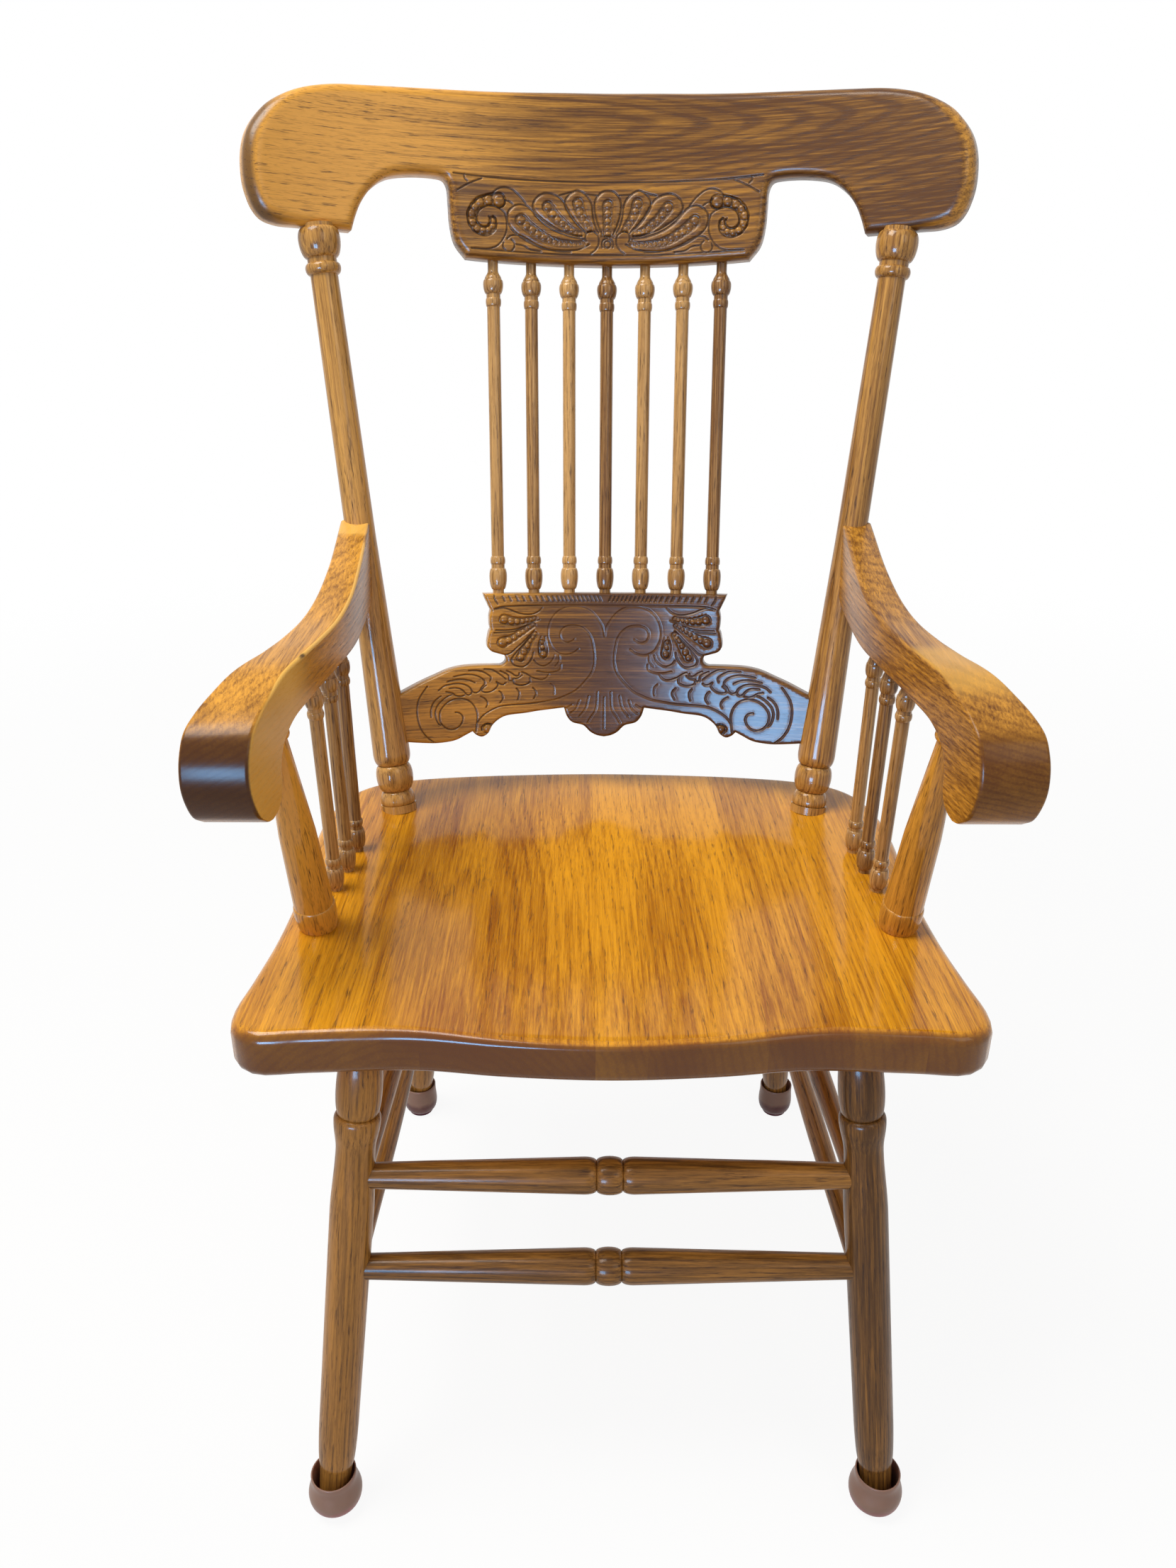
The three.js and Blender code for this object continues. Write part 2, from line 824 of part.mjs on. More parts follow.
// The flat tenon at an end of the splat, or with a margin the mortise that takes it
function splatTenon(sign, margin) {
  const along = sign * bendRadius * Math.asin(postSpreadAt(splatMidHeight) / bendRadius);
  const angle = along / bendRadius;
  const reach = postShaftFoot * 2 + margin * 2;
  const tenon = new THREE.BoxGeometry(
    reach,
    splatTenonThickness + margin * 2,
    splatTenonHeight + margin * 2,
  );
  const inward = postShaftFoot * 2 - splatTenonReach;
  const middle = onBoard(splatFace, along - sign * inward, splatMidHeight, splatThickness / 2);
  const tangent = new THREE.Vector3(Math.cos(angle), 0, 0).addScaledVector(backOut, -Math.sin(angle));
  const outward = new THREE.Vector3().crossVectors(backUp, tangent);
  const frame = new THREE.Matrix4().makeBasis(tangent, outward, backUp).setPosition(middle);
  return tenon.applyMatrix4(frame);
}

function splatGeometry() {
  const tables = [splatWingShares, splatPanelShares, splatLipShares];
  const stations = boardStations(tables, splatHalfLength);
  const forms = tables.map((rows) =>
    boardForm(
      rows,
      stations,
      splatHalfLength,
      splatFoot,
      splatHeight,
      splatThickness,
      splatFace,
      0,
    ),
  );
  return join(forms);
}

// The runs of a post below, along and above its plain shaft
const postFootRun = postFlangeHeight + postRingHeight + postFootBallHeight + postShaftRound;
const postHeadRun = postBeadHeight + postTopGrooveHeight + postTopBallHeight;
const postLength = Math.hypot(crestFoot, postTopSpread - postFoot.x);
const postShaftRun = postLength - postFootRun - postHeadRun;

function postGeometry() {
  return new Turning(postFlange)
    .to(postFlangeHeight + overrun * 2)
    .to(0, postRingFoot)
    .bead(postRingHeight, postRing, postFootGroove, 3)
    .bead(postFootBallHeight, postFootBall, postShaftGroove, 5)
    .open(postShaftRound, postShaftFoot, 3)
    .to(postShaftRun * postArmShare, postShaftAtArm)
    .to(postShaftRun * (1 - postArmShare), postShaftTop)
    .bead(postBeadHeight, postBead, postTopGroove, 3)
    .to(postTopGrooveHeight)
    .bead(postTopBallHeight, postTopBall, postCrown, 4)
    .to(overrun)
    .lathe(postSides);
}

// The room that a post's shaft takes out of a piece that is hollowed to it
function postCope(post) {
  const count = postSides * 2;
  const cope = new Turning(clear(postShaftFoot, count))
    .to(postFootRun)
    .to(postShaftRun * postArmShare, clear(postShaftAtArm, count))
    .to(postShaftRun * (1 - postArmShare), clear(postShaftTop, count))
    .lathe(count);
  return cope.applyMatrix4(towards(post.foot, post.top));
}

// A leaning post on the seat: it is turned too long, cut level with the seat, and given its tenon
function standOnSeat(name, turned, foot, top, radius, tenonRadius, tenonLength) {
  const mesh = addPiece(name, turned, oak, towards(partway(foot, top, -overrun * 2), top));
  const level = new THREE.BoxGeometry(radius * 4, radius * 4, radius * 2);
  level.translate(foot.x, foot.y, seatTop + fit - radius);
  cutPiece(mesh, [level]);
  const tenon = new Turning(tenonRadius).to(tenonLength + overrun * 2).lathe(boreSides);
  tenon.translate(0, 0, overrun * 2 - tenonLength);
  mesh.geometry = join([mesh.geometry, tenon]);
  const below = partway(foot, top, -tenonLength);
  cutPiece(seatPiece, [bore(foot, below, tenonRadius, tenonLength)]);
  return mesh;
}

function backPost({ name, sign }) {
  const foot = postAt(sign, 0);
  const top = postAt(sign, crestFoot);
  const mesh = standOnSeat(
    `${name}_back_post`,
    postGeometry(),
    foot,
    top,
    postFlange,
    postFootTenonRadius,
    postFootTenon,
  );
  const roof = new THREE.BoxGeometry(postCrown * 4, postCrown * 4, postCrown * 2);
  const above = onBack(top.x, crestFoot - fit + postCrown, 0);
  roof.applyMatrix4(new THREE.Matrix4().makeRotationX(-backRake).setPosition(above));
  cutPiece(mesh, [roof]);
  const tenon = new Turning(postTopTenonRadius).to(postTopTenon + overrun).lathe(boreSides);
  tenon.translate(0, 0, foot.distanceTo(top) + overrun);
  mesh.geometry = join([mesh.geometry, tenon]);
  return { mesh, foot, top };
}

function spindleGeometry(length, tenon, size) {
  const turned =
    size.footNeckLength +
    size.footBulbLength +
    (size.filletLength + size.ringLength) * 2 +
    size.topVaseLength +
    size.topNeckLength;
  return new Turning(size.footNeck)
    .to(tenon + size.footNeckLength)
    .bead(size.footBulbLength, size.footBulb, size.fillet, 3)
    .to(size.filletLength)
    .bead(size.ringLength, size.ring, size.shaft, 3)
    .to(length - turned)
    .bead(size.ringLength, size.ring, size.fillet, 3)
    .to(size.filletLength)
    .bead(size.topVaseLength * vaseRoundShare, size.topVase, size.topVaseEnd, 3)
    .flow(size.topVaseLength * (1 - vaseRoundShare), size.topNeck, 2)
    .to(size.topNeckLength + tenon)
    .lathe(spindleSides);
}

// A spindle between two faces, with a tenon past each
function spindle(name, foot, top, tenon, size) {
  const start = partway(foot, top, -tenon);
  const geometry = spindleGeometry(foot.distanceTo(top), tenon, size);
  return addPiece(name, geometry, palerOak, towards(start, top));
}

// Where the arm's middle line, top line and under line run
const armReach = armStart - armNose;

function smoothTable(rows, at) {
  const [first] = rows[0];
  const place = THREE.MathUtils.clamp(at, first, rows[rows.length - 1][0]);
  return readTable(rows, place);
}

function armPlan(y) {
  const [, middle, wide] = smoothTable(armPlanShares, (armStart - y) / armReach);
  return { middle: middle * armSpread, half: (wide * armWidth) / 2 };
}

function underArm(share) {
  const under = armProfileShares.map(([, , along, height]) => [along, height]);
  const [along, height] = readTable(under, share);
  const y = armStart - along * armReach;
  return { x: armPlan(y).middle, y, z: seatTop + height * armHeight };
}

// The arm is sawn to its profile, then to its plan: each section joins the top to the underside
function armGeometry(sign) {
  const sections = armProfileShares.map(([topAlong, topHeight, underAlong, underHeight]) => {
    const top = { y: armStart - topAlong * armReach, z: seatTop + topHeight * armHeight };
    const under = { y: armStart - underAlong * armReach, z: seatTop + underHeight * armHeight };
    const tall = Math.hypot(top.y - under.y, top.z - under.z);
    const edge = Math.min(armEdge / tall, armEdgeShare);
    const rows = [0, edge, 1 - edge, 1].map((share, i) => {
      const y = THREE.MathUtils.lerp(under.y, top.y, share);
      const z = THREE.MathUtils.lerp(under.z, top.z, share);
      const { middle, half } = armPlan(y);
      const inset = i === 0 || i === 3 ? armEdge : 0;
      return { y, z, inner: middle - half + inset, outer: middle + half - inset };
    });
    const outerSide = rows.map(({ y, z, outer }) => new THREE.Vector3(sign * outer, y, z));
    const innerSide = rows.map(({ y, z, inner }) => new THREE.Vector3(sign * inner, y, z));
    const ring = [...outerSide, ...innerSide.reverse()];
    return sign > 0 ? ring : ring.reverse();
  });
  return skin(sections);
}

function arm({ name, sign }, post) {
  const mesh = addPiece(`${name}_arm`, armGeometry(sign), amberOak);
  cutPiece(mesh, [postCope(post)]);
  const height = armTenonRise * armHeight;
  const centre = postAt(sign, height / Math.cos(backRake));
  const ahead = new THREE.Vector3(centre.x, centre.y - armReach, centre.z);
  const inside = partway(centre, ahead, postShaftAtArm - armTenon);
  const tenon = new Turning(armTenonRadius).to(armTenon + armTenonRoot).lathe(boreSides);
  mesh.geometry = join([mesh.geometry, tenon.applyMatrix4(towards(inside, ahead))]);
  const face = partway(centre, ahead, postShaftAtArm + fit);
  cutPiece(post.mesh, [bore(face, centre, armTenonRadius, armTenon)]);
  return mesh;
}

function armPostGeometry(length) {
  const shaft = length - armPostBaseHeight - armPostBeadHeight;
  return new Turning(armPostFootRing)
    .to(overrun * 2)
    .bead(armPostBaseHeight, armPostBase, armPostShaftFoot, 4)
    .to(shaft * armPostMiddleShare, armPostShaftMiddle)
    .to(shaft * (1 - armPostMiddleShare), armPostShaftTop)
    .bead(armPostBeadHeight, armPostBead, armPostTopTenonRadius, 4)
    .to(armPostTenon)
    .lathe(postSides);
}

// The seat and the leg frame
const seatUnder = seatTop - seatThickness;
const seatPiece = addPiece("seat", seatGeometry(), amberOak);
const legs = {};
for (const { name, sign } of sides) {
  const corners = [
    ["front", frontFoot, frontLegTop, frontCapBulge],
    ["back", backFoot, backLegTop, backCapBulge],
  ];
  for (const [end, foot, top, bulge] of corners) {
    const key = `${name}_${end}`;
    legs[key] = leg(key, place(foot, sign, 0), place(top, sign, seatUnder), bulge);
    const beyond = partway(legs[key].top, legs[key].foot, -legTenon);
    cutPiece(seatPiece, [bore(legs[key].top, beyond, legNeck, legTenon)]);
  }
}
const frontHeights = { upper: upperFrontStretcherHeight, lower: lowerFrontStretcherHeight };
const sideHeights = { upper: upperSideStretcherHeights, lower: lowerSideStretcherHeights };
const frontPair = [legs.left_front, legs.right_front];
for (const [level, height] of Object.entries(frontHeights)) {
  const name = `${level}_front_stretcher`;
  stretcher(name, beadedStretcher, frontStretcherEnd, ...frontPair, [height, height]);
}
for (const side of sides) {
  const pair = [legs[`${side.name}_front`], legs[`${side.name}_back`]];
  for (const [level, heights] of Object.entries(sideHeights)) {
    const name = `${side.name}_${level}_side_stretcher`;
    stretcher(name, plainStretcher, plainStretcherEnd, ...pair, heights);
  }
}
const backPair = [legs.left_back, legs.right_back];
const backHeights = [backStretcherHeight, backStretcherHeight];
stretcher("back_stretcher", plainStretcher, plainStretcherEnd, ...backPair, backHeights);

// The back
const crest = addPiece("crest_rail", crestGeometry(), brownOak);
const splat = addPiece("lower_splat", splatGeometry(), brownOak);
const posts = {};
for (const side of sides) {
  const post = backPost(side);
  posts[side.name] = post;
  const beyond = partway(post.top, post.foot, -postTopTenon);
  cutPiece(crest, [bore(post.top, beyond, postTopTenonRadius, postTopTenon)]);
}

// The splat's ends are hollowed to the posts, and a flat tenon goes on into each
for (const { name, sign } of sides) {
  const post = posts[name];
  cutPiece(splat, [postCope(post)]);
  splat.geometry = join([splat.geometry, splatTenon(sign, 0)]);
  cutPiece(post.mesh, [splatTenon(sign, fit)]);
}

// Back spindles
const middleSpindle = (backSpindleCount - 1) / 2;
for (let i = 0; i < backSpindleCount; i++) {
  const place = i - middleSpindle;
  const footAlong = place * backSpindleFootSpacing;
  const topAlong = place * backSpindleTopSpacing;
  const [, low] = readTable(crestOutlineShares, Math.abs(topAlong) / crestHalfLength);
  const footHeight = splatFoot + splatHeight + fit;
  const topHeight = crestFoot + low * crestHeight - fit;
  const foot = onBoard(splatFace, footAlong, footHeight, splatThickness / 2);
  const top = onBoard(crestFace, topAlong, topHeight, crestThickness / 2);
  spindle(`back_spindle_${i + 1}`, foot, top, backSpindleTenon, backSpindle);
  const length = foot.distanceTo(top);
  cutPiece(splat, [
    bore(foot, partway(foot, top, -length), backSpindle.footNeck, backSpindleTenon),
  ]);
  cutPiece(crest, [bore(top, partway(top, foot, -length), backSpindle.topNeck, backSpindleTenon)]);
}

// Arms, arm posts and arm spindles
for (const side of sides) {
  const { name, sign } = side;
  const post = posts[name];
  const armPiece = arm(side, post);
  const uprights = [
    { label: `${name}_arm_post`, at: armPostFoot, post: true },
    ...Object.entries(armSpindleFeet).map(([end, at]) => ({
      label: `${name}_${end}_arm_spindle`,
      at,
    })),
  ];
  for (const upright of uprights) {
    const foot = place(upright.at, sign, seatTop + fit);
    const under = underArm(upright.at.topShare);
    const top = place({ ...under, x: under.x - (upright.at.topInset ?? 0) }, sign, under.z - fit);
    const length = foot.distanceTo(top);
    const below = partway(foot, top, -length);
    const above = partway(top, foot, -length);
    if (upright.post) {
      const turned = armPostGeometry(length);
      standOnSeat(
        upright.label,
        turned,
        foot,
        top,
        armPostBase,
        armPostTenonRadius,
        armPostTenon,
      );
      const neck = partway(top, foot, armPostBeadHeight);
      cutPiece(armPiece, [
        bore(neck, above, armPostBead, armPostBeadHeight),
        bore(top, above, armPostTopTenonRadius, armPostTenon),
      ]);
    } else {
      spindle(upright.label, foot, top, armSpindleTenon, armSpindle);
      cutPiece(seatPiece, [bore(foot, below, armSpindle.footNeck, armSpindleTenon)]);
      cutPiece(armPiece, [bore(top, above, armSpindle.topNeck, armSpindleTenon)]);
    }
  }
}

// The chair is moved so that the origin lies under the middle of its outer box
const box = new THREE.Box3().setFromObject(chair, true);
chair.position.y = -(box.min.y + box.max.y) / 2;

export default chair;
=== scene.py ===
"""A pressed-back captain's chair in oak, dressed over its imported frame.

Sizes are in millimetres in the chair's own frame, in which y = 0 lies in front of the seat's
middle. They become metres in the frame's place when a piece is finished.
"""

import math

import bmesh
import bpy
import numpy as np
from mathutils import Matrix, Vector, kdtree
from mathutils.geometry import delaunay_2d_cdt


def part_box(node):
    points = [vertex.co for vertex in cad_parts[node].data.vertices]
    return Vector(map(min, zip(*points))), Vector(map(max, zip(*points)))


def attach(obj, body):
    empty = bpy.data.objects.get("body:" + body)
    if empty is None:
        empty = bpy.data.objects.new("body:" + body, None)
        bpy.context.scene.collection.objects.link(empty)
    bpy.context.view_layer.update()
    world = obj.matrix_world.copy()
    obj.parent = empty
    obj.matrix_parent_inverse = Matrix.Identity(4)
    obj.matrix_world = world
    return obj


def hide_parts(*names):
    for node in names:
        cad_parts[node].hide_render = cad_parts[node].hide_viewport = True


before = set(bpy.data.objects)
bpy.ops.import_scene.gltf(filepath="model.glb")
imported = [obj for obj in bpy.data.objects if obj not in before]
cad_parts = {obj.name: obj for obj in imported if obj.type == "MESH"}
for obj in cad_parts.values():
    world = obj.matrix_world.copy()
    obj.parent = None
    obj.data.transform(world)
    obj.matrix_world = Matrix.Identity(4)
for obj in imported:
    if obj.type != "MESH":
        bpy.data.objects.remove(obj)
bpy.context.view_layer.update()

bl_info = {
    "name": "Captain's chair",
    "version": (1, 0, 0),
    "blender": (4, 5, 0),
    "location": "View3D > Sidebar > Chair",
    "description": "Builds a pressed-back oak armchair piece by piece",
    "category": "Add Mesh",
}

MM = 0.001
SEAT_FRONT = 216
PLACE = Matrix.Translation((0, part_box("seat")[0].y + SEAT_FRONT * MM, 0)) @ Matrix.Scale(MM, 4)
FIT = 0.3
QUARTER = math.pi / 2
SIDES = {"left": 1, "right": -1}

# The seat: its outline as shares of its half sizes, its scoop, and the left edge of each glued
# stave with its tone from dark to light
SEAT_TOP = 457
SEAT_THICK = 38
SEAT_HALF_WIDTH = 272
SEAT_BACK = 235
SEAT_ROUNDING = 9
SEAT_COLUMNS = 180
SEAT_OUTLINE = [
    (0, -1), (0.28, -0.982), (0.515, -0.949), (0.79, -0.963), (0.93, -0.97), (0.985, -0.915),
    (1, -0.82), (0.985, -0.65), (0.966, -0.4), (0.96, -0.1), (0.968, 0.15), (0.98, 0.38),
    (0.972, 0.58), (0.93, 0.76), (0.85, 0.865), (0.72, 0.925), (0.52, 0.965), (0.26, 0.99), (0, 1),
]
SCOOP_MIDDLE = -20
SCOOP_HALF_WIDTH = 225
SCOOP_FRONT = 330
SCOOP_BACK = 205
STAVES_WIDTH = 622
SEAT_STAVES = [
    (-311, 0.45), (-205, 0.38), (-138, 0.3), (-12.6, 0.7), (24, 0.54), (109, 0.46), (168, 0.6),
    (219, 0.36),
]

# Legs: the ends of their middle lines on the floor and at the seat, and their turned runs
LEGS = {"front": ((226.3, -238.06), (182.6, -175)), "back": ((216.3, 258.7), (170.44, 168.86))}
LEG_FACE = 16.8
LEG_END = 12.4
LEG_TENON = 22
LEG_RUNS = dict(ankle=35, swell=50, taper=55, flare=26, shoulder=5, vase=46, neck=6.5)

# Stretchers: the heights at which their ends meet the legs
FRONT_STRETCHERS = {"upper": 313.5, "lower": 232.8}
SIDE_STRETCHERS = {"upper": (285.5, 268), "lower": (201.4, 192)}
BACK_STRETCHER = 240
STRETCHER_TENON = 12
STRETCHER_BEAD = 20
STRETCHER_SHOULDER = 9

# Caps and pads: how far each pair of caps bulges, and below what height the felt tints it
CAP_BULGE = {"front": 21.8, "back": 19.3}
CAP_TINT = {"front": 0.018, "back": 0.0215}
CAP_HEIGHT = 35
CAP_RIM = 18.4
CAP_WALL = 16.95
CAP_FLOOR = 4.5
PAD_HEIGHT = 3

# The back, up its lean from the seat
RAKE = math.radians(10.8)
BEND = 570
POST_FOOT = 198
POST_FOOT_Y = 149.5
POST_TOP = 250.4
POST_TENON = 3
POST_RUNS = dict(disc=4.3, ring=13.4, ball=25.7, cup=10.7, collar=9.6, fillet=4, head=24)
CREST_FOOT = 515.5
CREST_THICK = 25
CREST_FACE = BEND - math.sqrt(BEND**2 - POST_TOP**2) - CREST_THICK / 2
SPLAT_TOP = 203
SPLAT_THICK = 18
SPLAT_FACE = 29.9
SPINDLE_FEET = 33.4
SPINDLE_TOPS = 34.0

# Arms: their top and under lines along the reach, then their middle line and width from above
ARM_HEIGHT = 266
ARM_START = 188
ARM_REACH = 356
ARM_SPREAD = 228
ARM_WIDTH = 42
ARM_CORNER = 6
ARM_PROFILE = [
    (-0.022, 1.004, 0.004, 0.768), (0.107, 0.966, 0.081, 0.744), (0.236, 0.925, 0.219, 0.733),
    (0.36, 0.887, 0.36, 0.7256), (0.483, 0.865, 0.483, 0.7275), (0.612, 0.861, 0.612, 0.7275),
    (0.697, 0.861, 0.697, 0.722), (0.803, 0.853, 0.767, 0.7124), (0.879, 0.823, 0.8005, 0.699),
    (0.93, 0.797, 0.826, 0.68), (0.969, 0.767, 0.8455, 0.658), (0.9915, 0.7256, 0.858, 0.628),
    (1.003, 0.684, 0.864, 0.59), (1.006, 0.635, 0.8666, 0.556), (0.997, 0.586, 0.878, 0.526),
    (0.9775, 0.5376, 0.896, 0.5075), (0.949, 0.5075, 0.9185, 0.5),
]
ARM_PLAN = [
    (-0.022, 1, 0.63), (0.2, 0.982, 0.65), (0.36, 0.982, 0.7), (0.483, 0.994, 0.715),
    (0.62, 1.019, 0.73), (0.7, 1.04, 0.77), (0.77, 1.068, 0.86), (0.84, 1.1, 0.96),
    (0.91, 1.13, 1.06), (0.965, 1.15, 1.125), (1.006, 1.162, 1.13),
]
ARM_POST_FOOT = (232, -67)
ARM_POST_SHARE = 0.8
ARM_POST_INSET = 4
ARM_POST_BULB = 24
ARM_POST_RING = 11
ARM_SPINDLES = {"front": (229, -8, 0.579), "middle": (225, 25, 0.472), "back": (223, 62, 0.357)}

# Sizes of the two kinds of small spindle, from foot to top
BACK_SPINDLE = dict(
    tenon=10, foot=5.3, foot_run=3, bulb=8.3, bulb_run=20, fillet=6.3, fillet_run=3.6, ring=7,
    ring_run=7.4, shaft=5.9, vase=9, vase_end=7.7, vase_run=20, neck=4.7, neck_run=7.5,
)
ARM_SPINDLE = dict(
    tenon=12, foot=5, foot_run=3, bulb=7.7, bulb_run=19, fillet=5.8, fillet_run=3.2, ring=6.7,
    ring_run=6.2, shaft=5.5, vase=7.6, vase_end=6.5, vase_run=19, neck=4.6, neck_run=6,
)

# The boards' outlines on their unrolled faces: the right half, in runs that meet at corners
CREST_OUTLINE = [
    [(0, 495.6), (40, 496.2), (80, 497.4), (110, 498.6), (126, 499.6)],
    [
        (126, 499.6), (135.4, 511.9), (139.2, 528.8), (140.1, 544.4), (141.1, 557.5),
        (144.2, 563.2), (151.1, 564.9), (176.8, 564.2), (195, 560), (208.2, 550.4), (217.3, 538.4),
        (222.3, 527.5), (226.3, 515.5),
    ],
    [
        (226.3, 515.5), (245, 515.5), (270, 515.5), (288, 515.6), (300, 519.1), (306.6, 526.3),
        (310.7, 536), (313.2, 547), (313.3, 566), (310.7, 579.4), (306.6, 589), (300, 598.6),
        (291.9, 607.1), (277.4, 616.1), (259.9, 623), (237, 628), (208, 630.4), (180, 632),
        (141, 633.5), (110, 634.2), (80, 635), (40, 636), (0, 636),
    ],
]
SPLAT_OUTLINE = [
    [
        (0, 63.7), (6.5, 65), (13, 68.4), (20, 75), (31, 78.2), (36, 84), (39, 92.8),
    ],
    [
        (39, 92.8), (65, 89.6), (76, 88), (95, 85.9), (101.6, 82.9), (108.5, 76.8), (112.5, 69.4),
        (118.7, 65.8), (124.4, 67.9), (128, 71.5),
    ],
    [
        (128, 71.5), (135.5, 67.7), (142, 64.4), (148, 62.6), (162, 61.5), (175, 62.4),
        (191, 64.2), (200, 65.5),
    ],
    [(200, 65.5), (200, 86), (200, 108.5)],
    [
        (200, 108.5), (191, 112.7), (175, 120.5), (162, 126), (148, 131.7), (135.5, 134.3),
        (122, 135), (104, 135), (98.4, 135.2), (95.2, 137.6), (94.3, 141), (95.8, 144.6),
    ],
    [(95.8, 144.6), (103, 146.6), (108.4, 148.6), (111.2, 151.6), (111.8, 156), (111, 162.4),
     (110, 166.8), (108.6, 169.4)],
    [(108.6, 169.4), (109.4, 175), (109.4, 181.5), (108.3, 187.6)],
    [(108.3, 187.6), (110.6, 192.6), (113, 198), (114.8, 203)],
    [(114.8, 203), (80, 203), (40, 203), (0, 203)],
]

# The pressed work on the right half of each unrolled face: pressed lines, swollen lobes, and rows
# of beads as place and radius. A single bead is a row of two that all but meet.
CREST_LINES = [
    [(0, 563.6), (50, 563.8), (100, 564.8), (114, 565.5), (137, 566.8)],
    [(0, 503.6), (50, 504), (90, 505.3), (122, 506.5)],
    [(134.5, 553), (129, 556), (122, 559.8), (112, 563.8)],
    [(127, 566.5), (127.3, 563.5), (124.8, 561)],
    [(10, 553), (20, 553.6)],
    [(31, 555.5), (43, 552.5)],
    [(19.8, 519.5), (18.5, 522), (15.5, 523.4), (11.5, 522.3), (8.7, 519.5), (7.8, 516.3),
     (8.3, 512), (10.8, 508), (15, 504.8)],
    [(19.8, 519.5), (20, 516.5), (19, 515)],
    [(4.6, 510), (5.2, 512.6), (3.6, 516.2), (0, 517.7)],
    [(3, 512.5), (2.1, 514.6), (0, 515.5)],
    [(3, 512.5), (2.1, 510.4), (0, 509.5)],
    [(0, 519.6), (6, 519.2)],
    [(72.5, 543.3), (75, 546.7), (80, 551.8), (85.5, 555.9), (91.5, 557.4), (97.5, 556.2),
     (101.5, 553.3), (103.2, 550.8)],
    [(85, 544), (88, 546), (91.5, 547)],
    [(93, 549.5), (91.6, 546), (93.4, 542.4), (96.8, 541)],
    [(103.4, 551.8), (109, 550.3), (115, 547.8), (120, 543.3), (124.3, 537), (125, 530.8),
     (123.3, 525.5), (119, 520.5), (112.2, 517.5), (106, 518), (101, 521.7), (99.3, 526.7),
     (100.3, 531.5), (102.5, 533.5)],
    [(94.7, 538.8), (99.7, 541.7), (105.5, 542.5), (112.2, 540), (115.8, 536), (117, 530.8),
     (115.8, 527.3), (112.2, 524.8), (108, 525.2), (105.2, 527.5), (104.5, 531), (106.3, 533)],
    [(94.7, 538.8), (92.2, 536.7), (90.6, 532), (90.2, 526.7), (90.7, 521.7), (92.8, 516.7),
     (96.5, 511.7), (101.3, 508.3), (108, 506.7), (119.7, 506.7)],
    [(33, 505.8), (46, 506.3), (57.5, 508.8), (66, 512), (74, 516.2), (81, 518.8), (87, 518),
     (90.2, 515.5)],
    [(60, 505.8), (70, 507.3), (75.3, 510.2), (82.5, 511.3)],
    [(86.4, 514.9), (84, 512.4), (83.6, 509.6), (85.4, 506.3), (88.8, 505.1), (92.2, 506.3),
     (94, 509.4), (93.3, 512.6)],
]
CREST_LOBES = [
    [(-4, 519.5), (-7.3, 525.5), (-9.8, 532), (-11.7, 540), (-12, 545), (-11, 549.5), (-8, 553.5),
     (-4, 556.2), (0, 556.8), (4, 556.2), (8, 553.5), (11, 549.5), (12, 545), (11.7, 540),
     (9.8, 532), (7.3, 525.5), (4, 519.5)],
    [(8, 522), (11.5, 529), (13.3, 537), (14, 544), (16.5, 549.5), (21, 554), (27.5, 556.8),
     (33.5, 554), (37.8, 549), (38.3, 545), (36.3, 540), (32, 533.8), (27, 528), (21.5, 523.4),
     (19.5, 521.6)],
    [(20.6, 523.3), (25.5, 527.5), (30.5, 533), (35, 539.5), (38, 544.6), (40.5, 548), (44, 551),
     (49.7, 553.2), (55.5, 554), (61, 552), (65.3, 548), (67, 543.5), (66.3, 540), (63, 535.8),
     (56.3, 530.8), (48, 525.8), (39.7, 522.5), (31.3, 520.2), (22.5, 519.4)],
    [(19.7, 517), (25.5, 517.5), (33.8, 518.8), (43.8, 521.7), (51.3, 525), (58, 529.2),
     (63.8, 534.6), (68, 539.5), (73, 543), (79.7, 544), (85.5, 541.5), (89, 537.5),
     (89.9, 533.3), (89, 528), (85.5, 523), (79.7, 518.3), (73, 514.2), (64.7, 510.4),
     (56.3, 507.9), (48, 507), (35.5, 507), (25.5, 508.3), (16.3, 512.5)],
]
CREST_BEADS = [
    [(0, 544.5, 3.9), (0, 537.8, 3.4), (0, 531.8, 3.1), (0, 526.2, 2.8), (0, 521.4, 2.4)],
    [(26.5, 545.8, 4.1), (24.8, 539.8, 3.5), (22.3, 534.4, 2.9), (19.4, 530, 2.6),
     (16.3, 525.6, 2.3)],
    [(53.8, 542.7, 4.0), (49.1, 536.9, 3.6), (44.9, 532.7, 3.3), (40.5, 529.2, 3.0),
     (36.2, 525.8, 2.7), (32.2, 523.8, 2.2), (28.2, 522.1, 1.9), (24.9, 521.3, 1.6)],
    [(77.6, 531.2, 4.3), (72.8, 526.7, 3.9), (67.4, 523.1, 3.7), (62.4, 520, 3.5),
     (57.2, 517.1, 3.2), (52, 515, 3.0), (47.4, 513.8, 2.7), (42.6, 512.9, 2.4),
     (38.4, 512.7, 2.1), (34.4, 512.5, 1.9), (30.2, 512.5, 1.7), (26.4, 512.6, 1.6),
     (22.6, 513.3, 1.6)],
    [(97.2, 546.8, 5.2), (106.5, 546.7, 3.9), (114, 544.6, 3.7), (118.7, 540.5, 3.4),
     (121.5, 534.8, 3.4), (120.7, 527.9, 3.1), (116.7, 523, 3.0), (111.5, 521.5, 2.8),
     (106.7, 522.3, 2.6), (103.2, 525.8, 2.5), (102.8, 530, 2.3)],
]
